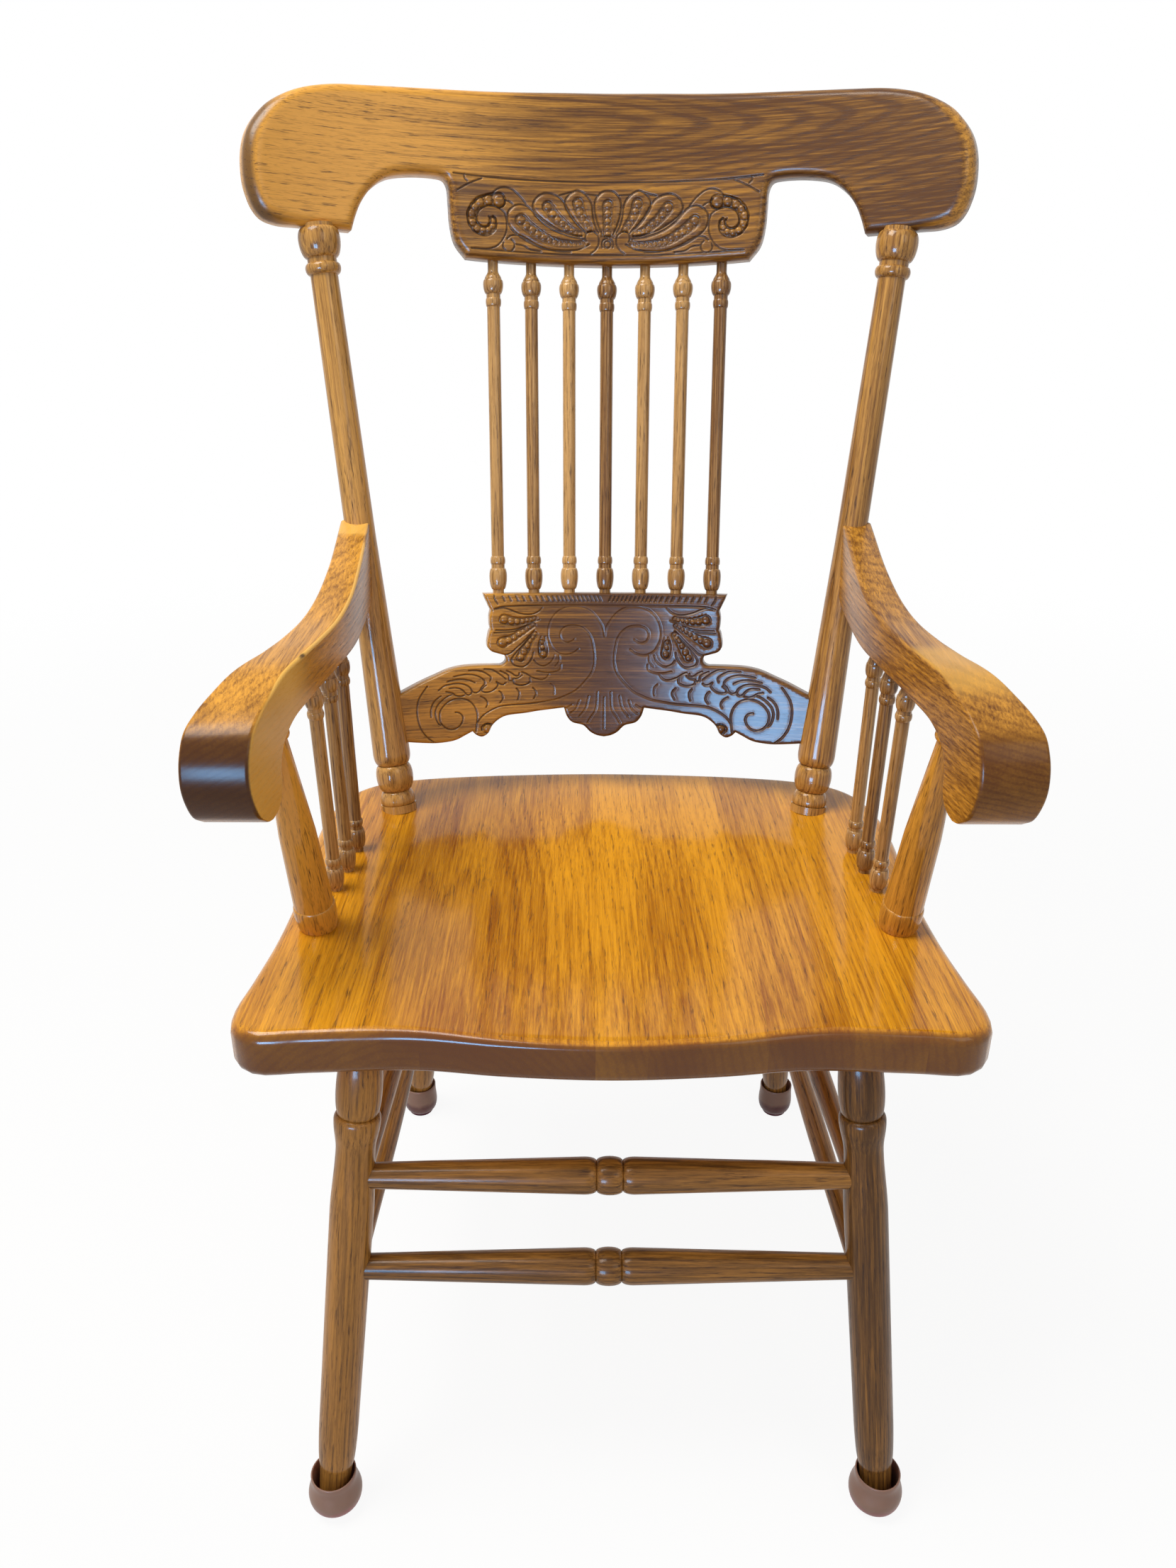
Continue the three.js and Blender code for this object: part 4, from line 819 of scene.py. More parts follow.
def pressed_board(node, half_runs, work, face, thick, edge, end, reach, look, material, tone_at):
    """A bent board with its pressed work, laid out flat, meshed and then bent."""
    outline = board_outline(half_runs)
    trace = evenly(np.vstack([outline, outline[:1]]), 0.4)
    low, high = outline.min(0), outline.max(0)
    fine = rows_of_places(low, high, look.fine_step)
    fine = fine[(fine[:, 0] < reach) & (nearest(fine, work.detail) < CLOSE_REACH)]
    coarse = rows_of_places(low, high, look.fine_step * WIDER)
    coarse = coarse[nearest(coarse, work.detail) >= CLOSE_REACH]
    rings = edge_rings(outline, trace, [edge * k for k in (0.04, 0.13, 0.3, 0.55, 0.8)])
    places = filling(np.vstack([fine, coarse]), outline, trace, max(1.2, edge * 0.9))
    front, front_faces = triangulated(outline, np.vstack([places, rings]))
    plain = filling(rows_of_places(low, high, BACK_STEP), outline, trace, edge + 2)
    rear, rear_faces = triangulated(outline, np.vstack([plain, rings]))

    from_edge = nearest(front, trace)
    sideways = np.abs(front[:, 0])
    rise, dark = work.relief(np.column_stack([sideways, front[:, 1]]), look)
    fade = eased(from_edge, 0, 1.5)
    at_end = eased(sideways, END_START, END_WIDTH)
    rounding = edge + (end - edge) * at_end
    deep = np.concatenate([
        round_over(from_edge, rounding) - rise * fade,
        thick - round_over(nearest(rear, trace), edge),
    ])
    flat = np.vstack([front, rear])
    solid = np.column_stack(on_board(face, flat[:, 0], flat[:, 1], deep))

    mesh = bpy.data.meshes.new(node)
    faces = [tuple(f) for f in front_faces]
    faces += [tuple(len(front) + i for i in reversed(f)) for f in rear_faces]
    mesh.from_pydata(solid.tolist(), [], faces)
    shape = bmesh.new()
    shape.from_mesh(mesh)
    bmesh.ops.bridge_loops(shape, edges=[side for side in shape.edges if side.is_boundary])
    bmesh.ops.recalc_face_normals(shape, faces=shape.faces)
    shape.to_mesh(mesh)
    shape.free()
    # Rim at each end of the board: darker end grain at the left end; at the right end a painted
    # highlight lightens the rim where light falls on it
    end_rim = (1 - eased(from_edge, 3, rounding * 0.6)) * at_end
    lit = end_rim * (front[:, 0] > 0)
    behind = np.zeros(len(rear))
    finish_piece(
        node, mesh, "pressed_oak", material, 0,
        grain=np.column_stack([flat, deep]) * MM,
        shade=np.concatenate([dark * fade + 0.9 * (end_rim - lit), behind]),
        tone=tone_at(flat) + np.concatenate([2.4 * lit, behind]),
    )


def maths(operation, swapped=False):
    """A method that adds one Math node to a value's shader."""
    def method(self, *others):
        values = (*others, self) if swapped else (self, *others)
        settings, sockets = {"operation": operation}, dict(enumerate(values))
        return self.finish.node("ShaderNodeMath", settings, sockets)["Value"]

    return method


class Value:
    """A shader socket that takes part in plain arithmetic."""

    def __init__(self, finish, socket):
        self.finish = finish
        self.socket = socket

    __add__ = __radd__ = maths("ADD")
    __sub__ = maths("SUBTRACT")
    __rsub__ = maths("SUBTRACT", swapped=True)
    __mul__ = __rmul__ = maths("MULTIPLY")
    __truediv__ = maths("DIVIDE")
    __pow__ = maths("POWER")
    sine = maths("SINE")
    largest = maths("MAXIMUM")

    def ease(self, low, high):
        """0 below one value and 1 above another, with a soft way between."""
        made = self.finish.node(
            "ShaderNodeMapRange",
            {"interpolation_type": "SMOOTHSTEP"},
            {"Value": self, "From Min": low, "From Max": high},
        )
        return made["Result"]


class Made:
    """A node whose outputs are read as values, by name or number."""

    def __init__(self, finish, node):
        self.finish = finish
        self.made = node

    def __getitem__(self, name):
        return Value(self.finish, self.made.outputs[name])


class Finish:
    """A material, or the world's light, that is written as expressions."""

    def __init__(self, holder):
        holder.use_nodes = True
        self.holder = holder
        self.tree = holder.node_tree
        self.tree.nodes.clear()

    def node(self, kind, settings=None, sockets=None):
        """Adds a node with its settings, then the values or links of its sockets."""
        made = self.tree.nodes.new(kind)
        for name, setting in (settings or {}).items():
            if name == "stops":
                ramp = made.color_ramp
                ramp.interpolation = settings.get("blend", "LINEAR")
                while len(ramp.elements) < len(setting):
                    ramp.elements.new(1)
                for element, stop in zip(ramp.elements, setting):
                    element.position, element.color = stop
            elif name != "blend":
                setattr(made, name, setting)
        for name, value in (sockets or {}).items():
            if isinstance(value, Value):
                self.tree.links.new(value.socket, made.inputs[name])
            else:
                made.inputs[name].default_value = value
        return Made(self, made)

    def field(self, name, part="Fac"):
        """A field that the piece carries on its points."""
        return self.node("ShaderNodeAttribute", {"attribute_name": name})[part]

    def object_place(self):
        """The place on the piece, in metres."""
        return self.node("ShaderNodeTexCoord")["Object"]

    def parts(self, place):
        """The three numbers of a place."""
        return self.node("ShaderNodeSeparateXYZ", None, {0: place})

    def vector(self, operation, *values):
        """A Vector Math node."""
        return self.node(
            "ShaderNodeVectorMath", {"operation": operation}, dict(enumerate(values))
        )

    def blend(self, share, first, second):
        """Colours mixed by a share."""
        sockets = {0: share, 6: first, 7: second}
        return self.node("ShaderNodeMix", {"data_type": "RGBA"}, sockets)[2]

    def noise(self, place, scales, detail=2, roughness=0.5):
        """Noise that is drawn out along the grain."""
        spread = self.vector("MULTIPLY", place, scales)["Vector"]
        sockets = {"Vector": spread, "Scale": 1, "Detail": detail, "Roughness": roughness}
        return self.node("ShaderNodeTexNoise", None, sockets)["Fac"]

    def seen(self):
        """1 where the camera sees a place, by itself or in gloss or glass."""
        path = self.node("ShaderNodeLightPath")
        gloss = path["Is Glossy Ray"].largest(path["Is Transmission Ray"])
        return path["Is Camera Ray"].largest(gloss)

    def surface(self, relief, strength, distance, sockets):
        """Ends a material with a principled surface that has a fine relief."""
        height = {"Strength": strength, "Distance": distance, "Height": relief}
        bump = self.node("ShaderNodeBump", None, height)["Normal"]
        sockets = {**sockets, "Normal": bump}
        return self.output(self.node("ShaderNodeBsdfPrincipled", None, sockets)["BSDF"])

    def mixture(self, share, first, second, kind="ShaderNodeOutputMaterial"):
        """Ends the tree with two shaders mixed by a share."""
        sockets = {0: share, 1: first[0], 2: second[0]}
        return self.output(self.node("ShaderNodeMixShader", None, sockets)["Shader"], kind)

    def output(self, shader, kind="ShaderNodeOutputMaterial"):
        """Ends the tree with a shader."""
        self.node(kind, None, {"Surface": shader})
        return self.holder


def colour(values):
    """A property's colour as a socket takes it."""
    return (*values[:3], 1)


def oak(name, look, wood, rings=260, pith=(0.014, 0.03), slope=0.02, pores=1.0, gloss=0.28,
        coat=0.1, shine=1.0, vary=0.5, drifting=1.6, bands=0.2, staves=None, worn=False,
        bare=False):
    """Varnished oak: growth rings, pores and fibres along the grain; painted shade in grooves."""
    finish = Finish(bpy.data.materials.new(name))
    light, dark = (colour(getattr(look, f"{wood}_{kind}")) for kind in ("light", "dark"))
    grain = finish.field("grain", "Vector")
    tone = finish.field("tone")
    shade = finish.field("shade")
    quiet = 1 - finish.field("ends") * 0.7
    if staves:
        x = finish.parts(finish.object_place())["X"]
        stops = [(start / STAVES_WIDTH + 0.5, (value,) * 3 + (1,)) for start, value in staves]
        ramp = finish.node(
            "ShaderNodeValToRGB",
            {"blend": "CONSTANT", "stops": stops},
            {"Fac": x / (STAVES_WIDTH * MM) + 0.5},
        )
        stave = finish.node("ShaderNodeSeparateColor", None, {0: ramp["Color"]})["Red"]
        moved = finish.node("ShaderNodeCombineXYZ", None, {0: stave * 7, 1: stave * 0.31})
        grain = finish.vector("ADD", grain, moved["Vector"])["Vector"]
        tone = tone + (stave - 0.5) * 2.6
    parts = finish.parts(grain)
    drift = finish.noise(grain, (1.6, 10, 10))
    wobble = finish.noise(grain, (9, 60, 60))
    along, across, inward = parts["X"], parts["Y"] + pith[0], parts["Z"] + pith[1]
    taper = (along + (along * along + 0.003) ** 0.5) * (0.5 * slope)
    from_pith = (across * across + inward * inward) ** 0.5 + taper
    phase = from_pith * rings + drift * drifting + wobble * 0.8
    early = ((phase * 6.2832).sine() * 0.5 + 0.5).ease(0.45, 1.0)
    fibre = finish.noise(grain, (12, 560, 560), 5, 0.7)
    streak = finish.noise(grain, (3.5, 90, 90), 3, 0.55)
    pore = finish.noise(grain, (130, 1500, 1500), 1)
    dash = finish.noise(grain, (55, 760, 760))
    pore_mask = (pore.ease(0.56, 0.66) * 0.5 + dash.ease(0.55, 0.66)) * (early * 0.6 + 0.4)
    pore_mask = pore_mask * quiet * pores
    cloud = finish.noise(grain, (3, 12, 12), 3)
    fibres = ((fibre - 0.5) * 2.2 + (streak - 0.5) * 0.9) * quiet
    share = early * bands * (quiet * 0.5 + 0.5) + fibres + 0.3
    share = share + (cloud - 0.5) * vary * 1.6 - tone * 0.3
    body = finish.blend(share.ease(-0.3, 1.2), light, dark)
    body = finish.blend(pore_mask * 0.62, body, colour(look.pore))
    # Real wear, and a painted highlight on one arm's top, lighten toward the worn colour
    if worn:
        rubbed_and_highlight = (finish.field("worn") * (fibre * 0.8 + 0.6)).ease(0.1, 0.9)
        body = finish.blend(rubbed_and_highlight, body, colour(look.arm_wear_and_highlight))
    # Below zero the shade field is a painted highlight toward the light wood; above zero it
    # darkens toward the groove colour: painted shade in pressed work and on the seat's front edge,
    # and darker end grain and a knot
    body = finish.blend((shade * -1).largest(0) * 0.3, body, light)
    body = finish.blend(shade.ease(0.05, 1.05) * 0.86, body, colour(look.groove))
    rough = pore_mask * 0.2 + (fibre - 0.5) * 0.12 + gloss
    varnish = look.varnish * shine
    if bare:
        raw = finish.field("bare")
        rough = rough + raw * 0.4
        varnish = (1 - raw) * varnish
    relief = 1 - pore_mask * 0.7 - early * 0.12 + (fibre - 0.5) * 0.15
    return finish.surface(relief, 0.3, 0.0004, {
        "Base Color": body, "Roughness": rough, "Specular IOR Level": 0.1,
        "Coat Weight": varnish, "Coat Roughness": coat,
    })


def soft_cap(name, foot, band, look):
    """Soft translucent silicone, clouded by the felt that shows through at its foot."""
    finish = Finish(bpy.data.materials.new(name))
    place = finish.object_place()
    cloud = finish.noise(place, (60, 60, 60), 3)
    height = finish.parts(place)["Z"] + (cloud - 0.5) * 0.006
    tint = finish.blend(height.ease(band, band - 0.007), colour(look.cap), colour(foot))
    tint = finish.blend((cloud - 0.5) * 0.5 + 0.2, tint, colour(look.haze))
    return finish.surface(cloud, 0.15, 0.0006, {
        "Base Color": tint, "Roughness": cloud * 0.15 + 0.28, "Subsurface Weight": 0.35,
        "Subsurface Radius": (0.006, 0.003, 0.002), "Subsurface Scale": 0.8,
        "Specular IOR Level": 0.25,
    })


def felt(name, look):
    """Pressed wool felt with fine fibres."""
    finish = Finish(bpy.data.materials.new(name))
    place = finish.object_place()
    fuzz = finish.noise(place, (900, 900, 900), 5, 0.7)
    tuft = finish.noise(place, (160, 160, 160))
    share = (fuzz * 0.6 + tuft * 0.4).ease(0.3, 0.75)
    tint = finish.blend(share, colour(look.felt), colour(look.felt_light))
    return finish.surface(
        fuzz, 0.6, 0.0005, {"Base Color": tint, "Roughness": 0.95, "Sheen Weight": 0.4}
    )


def srgb(red, green, blue):
    """A colour as a paint chart gives it, in the render's linear numbers."""
    shares = [value / 255 for value in (red, green, blue)]
    return tuple(s / 12.92 if s <= 0.04045 else ((s + 0.055) / 1.055) ** 2.4 for s in shares)


def hue(name, description, default):
    """A colour that a user may change."""
    return bpy.props.FloatVectorProperty(
        name=name, description=description, default=default, subtype="COLOR", min=0, max=1
    )


def amount(name, description, default, **limits):
    """A number that a user may change."""
    return bpy.props.FloatProperty(
        name=name, description=description, default=default, **limits
    )


class ChairShape(bpy.types.PropertyGroup):
    """How finely pieces are made and how deep the pressed work is, in millimetres."""

    sides: bpy.props.IntProperty(
        name="Sides", description="Flats round each turned piece", default=48, min=12, max=96
    )
    groove_depth: amount("Groove depth", "Depth of a pressed line in mm", 1.0, min=0.2, max=3)
    lobe_rise: amount("Lobe rise", "How far a lobe swells in mm", 1.3, min=0, max=3)
    bead_sink: amount("Bead sink", "Depth of the beads' channel in mm", 1.3, min=0, max=3)
    bead_rise: amount("Bead rise", "Height of a bead over its radius", 0.62, min=0, max=1)
    fine_step: amount("Fine step", "Spacing of the relief's points in mm", 0.6, min=0.3, max=3)
    scoop_depth: amount("Scoop depth", "Depth of the seat's hollow in mm", 11, min=0, max=15)


class ChairFinish(bpy.types.PropertyGroup):
    """Colours and gloss of the chair's finishes."""

    # Worn wood of the arms, also used for a painted highlight on one arm's top
    arm_wear_and_highlight: hue("Arm worn", "Bare worn wood of the arms", srgb(236, 184, 92))
    pore: hue("Pores", "Dark open pores of the oak", srgb(58, 34, 16))
    # Painted shade of pressed lines, channels and bead rims, with some darkened finish; also
    # darkens end grain and a knot
    groove: hue("Grooves", "Darkened finish in pressed lines", srgb(52, 30, 14))
    varnish: amount("Varnish", "Weight of the clear coat", 0.45, min=0, max=1)
    cap: hue("Cap", "Silicone of the caps", srgb(140, 108, 94))
    cap_foot: hue("Cap foot", "Pinkish lower edge of the caps", srgb(140, 58, 64))
    haze: hue("Cap haze", "Pale clouding in the silicone", srgb(168, 140, 126))
    felt: hue("Felt", "Dark felt of the pads", srgb(84, 24, 32))
    felt_light: hue("Felt light", "Light fibres of the felt", srgb(132, 52, 60))


WOODS = {
    "seat": [(228, 158, 34), (142, 78, 6)],
    "pressed": [(214, 154, 62), (86, 52, 20)],
    "arm": [(222, 158, 60), (100, 56, 18)],
    "post": [(212, 160, 84), (112, 70, 28)],
    "spindle": [(206, 162, 102), (104, 66, 30)],
    "leg": [(186, 130, 60), (86, 56, 26)],
}
for wood, charts in WOODS.items():
    for shade, chart in zip(("light", "dark"), charts):
        words = f"{wood} {shade}".capitalize(), f"{shade.capitalize()} wood of the {wood} oak"
        ChairFinish.__annotations__[f"{wood}_{shade}"] = hue(*words, srgb(*chart))


class ChairStage(bpy.types.PropertyGroup):
    """The plain studio that the chair stands in."""

    floor: hue("Floor", "Pale floor", (0.86, 0.86, 0.86))
    key: amount("Key lamp", "Strength of the large lamp", 50, min=0, unit="POWER")
    side: amount("Side lamp", "Strength of the lamp at the right", 9, min=0, unit="POWER")
    window: amount("Window sheen", "Strength of the gloss's sheen", 84, min=0, unit="POWER")
    fill: amount("Surround", "Strength of the even light all round", 0.3, min=0)


class PieceOperator:
    """What all the chair's operators share."""

    bl_options = {"REGISTER", "UNDO"}

    def execute(self, context):
        """Builds the pieces and says so."""
        self.build(context.scene.chair_shape, context.scene.chair_finish)
        return {"FINISHED"}


class CHAIR_OT_seat(PieceOperator, bpy.types.Operator):
    """The scooped plank seat, glued from staves"""

    bl_idname = "chair.seat"
    bl_label = "Seat"

    def build(self, choice, finishes):
        rows = self.rows()
        shape = spun([(100 * row[0], i) for i, row in enumerate(rows)], SEAT_COLUMNS)
        half = [
            (x * SEAT_HALF_WIDTH, y * (SEAT_FRONT if y < 0 else SEAT_BACK))
            for x, y in SEAT_OUTLINE
        ]
        line = curve(half + [(-x, y) for x, y in reversed(half[1:-1])], closed=True, per=16)
        outline = evenly(np.vstack([line, line[:1]]), count=SEAT_COLUMNS)
        inward = inwards(outline)
        for vert in shape.verts:
            share, inset, z, scooped = rows[round(vert.co.z)]
            turn = math.atan2(vert.co.y, vert.co.x) / (2 * math.pi)
            column = round(turn * SEAT_COLUMNS) % SEAT_COLUMNS
            x, y = (outline[column] + inward[column] * inset) * share
            vert.co = (x, y, z - scooped * scoop(x, y, choice.scoop_depth))
        bmesh.ops.recalc_face_normals(shape, faces=shape.faces)
        mesh = as_mesh(shape, "seat")
        spot = read_points(mesh) * MM
        facing = read_points(mesh, facing=True)
        material = oak(
            "seat oak", finishes, "seat", rings=150, pith=(0.03, -0.36), slope=0.03, pores=0.8,
            gloss=0.26, coat=0.12, vary=0.8, bands=0.14, staves=SEAT_STAVES, bare=True,
        )
        ends = eased(np.abs(facing[:, 1]), 0.25, 0.5)
        # Both ends of the seat are darker end grain; the front edge is darkened further, partly
        # end grain and partly painted shade where little light reaches it
        finish_piece(
            "seat", mesh, "seat_oak", material, 0,
            grain=spot[:, [1, 0, 2]], tone=-1.5 * ends, shade=0.62 * ends * (spot[:, 1] < 0),
            ends=ends, bare=eased(-facing[:, 2], 0.5, 0.4),
        )

    def rows(self):
        """Rings of the seat: share of the outline, inset, height, and share of the scoop."""
        low = SEAT_TOP - SEAT_THICK
        rows = [(share, 0, low, 0) for share in (0, 0.25, 0.5, 0.75, 0.93)]
        shares = np.linspace(0, 1, 9)
        near = SEAT_ROUNDING * (1 - np.sin(QUARTER * shares))
        far = SEAT_ROUNDING * (1 - np.cos(QUARTER * shares))
        rows += [(1, inset, low + rise, 0) for inset, rise in zip(near, far)]
        rows += [
            (1, inset, SEAT_TOP - fall, share) for inset, fall, share in zip(far, near, shares)
        ]
        rows += [(share, 0, SEAT_TOP, 1) for share in np.linspace(0.93, 0.04, 40)]
        return rows + [(0, 0, SEAT_TOP, 1)]


def leg_line(side, end):
    """A leg's middle line from the floor to the underside of the seat."""
    foot, top = LEGS[end]
    sign = SIDES[side]
    return chair_point(foot, sign, 0), chair_point(top, sign, SEAT_TOP - SEAT_THICK)


def leg_at(side, end, height):
    """The point of a leg's middle line at a height."""
    foot, top = leg_line(side, end)
    return foot.lerp(top, height / top.z)


class CHAIR_OT_legs(PieceOperator, bpy.types.Operator):
    """The four turned legs"""

    bl_idname = "chair.legs"
    bl_label = "Legs"

    def build(self, choice, finishes):
        material = oak(
            "leg oak", finishes, "leg", pith=(0.012, 0.03), gloss=0.34, coat=0.15, shine=0.5
        )
        for side in SIDES:
            for end in LEGS:
                foot, top = leg_line(side, end)
                lean = (top - foot).angle(Vector((0, 0, 1)))
                stands = PAD_HEIGHT + FIT + CAP_FLOOR + FIT + LEG_END * math.sin(lean)
                start = foot.lerp(top, stands / top.z)
                turning = leg_turning((top - start).length + LEG_TENON)
                node = f"{side}_{end}_leg"
                turned_piece(node, turning, start, top, "leg_oak", material, choice.sides)


class CHAIR_OT_caps(PieceOperator, bpy.types.Operator):
    """The soft leg caps and their felt pads"""

    bl_idname = "chair.caps"
    bl_label = "Caps and pads"

    def build(self, choice, finishes):
        feet = {"front": finishes.cap_foot, "back": finishes.felt}
        silicone = {
            end: soft_cap(f"{end} cap silicone", foot, CAP_TINT[end], finishes)
            for end, foot in feet.items()
        }
        wool = felt("pad felt", finishes)
        for side in SIDES:
            for end in LEGS:
                low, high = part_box(f"{side}_{end}_leg_cap")
                middle = (low + high) / 2 / MM
                middle.y -= PLACE.translation.y / MM
                middle.z = 0
                cup = (
                    Turning(14)
                    .open(1.2, 15.2)
                    .open(CAP_HEIGHT * 0.38 - 1.2, CAP_BULGE[end])
                    .flow(CAP_HEIGHT * 0.62 - 5, CAP_RIM, 12)
                    .to(4.2)
                )
                cup.points += [(CAP_RIM - 0.2, 34.6), (CAP_RIM - 0.7, 34.95)]
                cup.points += [(CAP_RIM - 1.2, 34.7), (CAP_WALL, 34), (CAP_WALL, 20)]
                cup.points.append((CAP_WALL, CAP_FLOOR))
                cap = cup.mesh("cap", choice.sides, last=CAP_FLOOR)
                cap.transform(Matrix.Translation(middle + Vector((0, 0, PAD_HEIGHT + FIT))))
                finish_piece(f"{side}_{end}_leg_cap", cap, "cap_silicone", silicone[end], 45)
                pad = Turning(13.4).to(0.2, 13.8).to(2.5).to(0.3, 13.5).mesh("pad", choice.sides)
                pad.transform(Matrix.Translation(middle))
                finish_piece(f"{side}_{end}_felt_pad", pad, "pad_felt", wool, 45)


class CHAIR_OT_stretchers(PieceOperator, bpy.types.Operator):
    """The beaded front stretchers and the plain side and back stretchers"""

    bl_idname = "chair.stretchers"
    bl_label = "Stretchers"

    def build(self, choice, finishes):
        material = oak(
            "stretcher oak", finishes, "leg", pith=(0.01, 0.028), gloss=0.34, coat=0.15, shine=0.5
        )
        left, right = SIDES
        spans = {}
        for level, height in FRONT_STRETCHERS.items():
            ends = leg_at(left, "front", height), leg_at(right, "front", height)
            spans[f"{level}_front_stretcher"] = ends
        for side in SIDES:
            for level, (front, back) in SIDE_STRETCHERS.items():
                ends = leg_at(side, "front", front), leg_at(side, "back", back)
                spans[f"{side}_{level}_side_stretcher"] = ends
        ends = leg_at(left, "back", BACK_STRETCHER), leg_at(right, "back", BACK_STRETCHER)
        spans["back_stretcher"] = ends
        for node, (start, end) in spans.items():
            inset = LEG_FACE - STRETCHER_TENON
            first, last = partway(start, end, inset), partway(end, start, inset)
            make = self.beaded if "front" in node else self.plain
            turning = make((last - first).length)
            turned_piece(node, turning, first, last, "leg_oak", material, choice.sides)

    def beaded(self, length):
        """A front stretcher, which swells to a bead between two shoulders."""
        half = (length - STRETCHER_BEAD) / 2 - STRETCHER_SHOULDER - STRETCHER_TENON
        return (
            Turning(9.8).to(STRETCHER_TENON).to(half, 13.8).close(STRETCHER_SHOULDER, 11)
            .bead(STRETCHER_BEAD, 14.3, 11).open(STRETCHER_SHOULDER, 13.8).to(half, 9.8)
            .to(STRETCHER_TENON)
        )

    def plain(self, length):
        """A side or back stretcher, a little thicker in its middle."""
        half = length / 2 - STRETCHER_TENON
        return Turning(8).to(STRETCHER_TENON).flow(half, 9.6).flow(half, 8).to(STRETCHER_TENON)


class CHAIR_OT_crest_rail(PieceOperator, bpy.types.Operator):
    """The bent crest rail with its pressed tab"""

    bl_idname = "chair.crest_rail"
    bl_label = "Crest rail"

    def build(self, choice, finishes):
        work = PressedWork(CREST_LINES, CREST_LOBES, CREST_BEADS)
        material = oak(
            "crest oak", finishes, "pressed", rings=156, pith=(-0.61, 0.012), slope=0.16,
            gloss=0.3, coat=0.26, drifting=1.5,
        )
        pressed_board(
            "crest_rail", CREST_OUTLINE, work, CREST_FACE, CREST_THICK, 7, 11.5, 140, choice,
            material, self.tone,
        )

    def tone(self, flat):
        """Golden at one end and brown towards the other, with a brown tab."""
        along, height = flat[:, 0], flat[:, 1]
        board = np.interp(along, *zip(*CREST_TONES))
        tab = (1 - eased(height, 556, 12)) * (np.abs(along) < 143)
        return board * (1 - tab) + TAB_TONE * tab


class CHAIR_OT_lower_splat(PieceOperator, bpy.types.Operator):
    """The bent lower splat with its pressed scrolls"""

    bl_idname = "chair.lower_splat"
    bl_label = "Lower splat"

    def build(self, choice, finishes):
        work = PressedWork(SPLAT_LINES, [], SPLAT_BEADS, SPLAT_NOTCHES, 0.5)
        material = oak(
            "splat oak", finishes, "pressed", rings=140, pith=(-0.1, 0.03), slope=0.06,
            coat=0.2, vary=0.3, bands=0.12,
        )
        pressed_board(
            "lower_splat", SPLAT_OUTLINE, work, SPLAT_FACE, SPLAT_THICK, 2.4, 2.4, 190, choice,
            material, lambda flat: np.interp(flat[:, 0], *zip(*SPLAT_TONES)),
        )


class CHAIR_OT_back_posts(PieceOperator, bpy.types.Operator):
    """The two turned back posts"""

    bl_idname = "chair.back_posts"
    bl_label = "Back posts"

    def build(self, choice, finishes):
        material = oak("post oak", finishes, "post")
        turning = post_turning(math.hypot(CREST_FOOT, POST_TOP - POST_FOOT))
        for side, sign in SIDES.items():
            turned_piece(
                f"{side}_back_post", turning, post_at(sign, 0), post_at(sign, CREST_FOOT),
                "post_oak", material, choice.sides, POST_TENON,
            )


class CHAIR_OT_back_spindles(PieceOperator, bpy.types.Operator):
    """The seven small spindles of the back"""

    bl_idname = "chair.back_spindles"
    bl_label = "Back spindles"

    def build(self, choice, finishes):
        material = oak("back spindle oak", finishes, "spindle", rings=420, pith=(0.008, 0.02))
        edge = np.vstack([curve(run) for run in CREST_OUTLINE[:2]])
        for i in range(-3, 4):
            step, rise = i * SPINDLE_FEET, SPLAT_TOP + FIT
            foot = Vector(on_board(SPLAT_FACE, step, rise, SPLAT_THICK / 2))
            step, rise = i * SPINDLE_TOPS, read_table(edge, abs(i * SPINDLE_TOPS))[0] - FIT
            top = Vector(on_board(CREST_FACE, step, rise, CREST_THICK / 2))
            small_spindle(f"back_spindle_{i + 4}", BACK_SPINDLE, foot, top, material, choice.sides)


ARM_PLAN_LINE = curve(ARM_PLAN)


def arm_plan(y):
    """The arm's middle line and half width at a place along it."""
    middle, wide = read_table(ARM_PLAN_LINE, (ARM_START - y) / ARM_REACH)
    return middle * ARM_SPREAD, wide * ARM_WIDTH / 2


def under_arm(share):
    """The point under the middle of an arm at a share of its reach."""
    y = ARM_START - share * ARM_REACH
    height = read_table([row[2:] for row in ARM_PROFILE], share)[0]
    return Vector((arm_plan(y)[0], y, SEAT_TOP + height * ARM_HEIGHT))


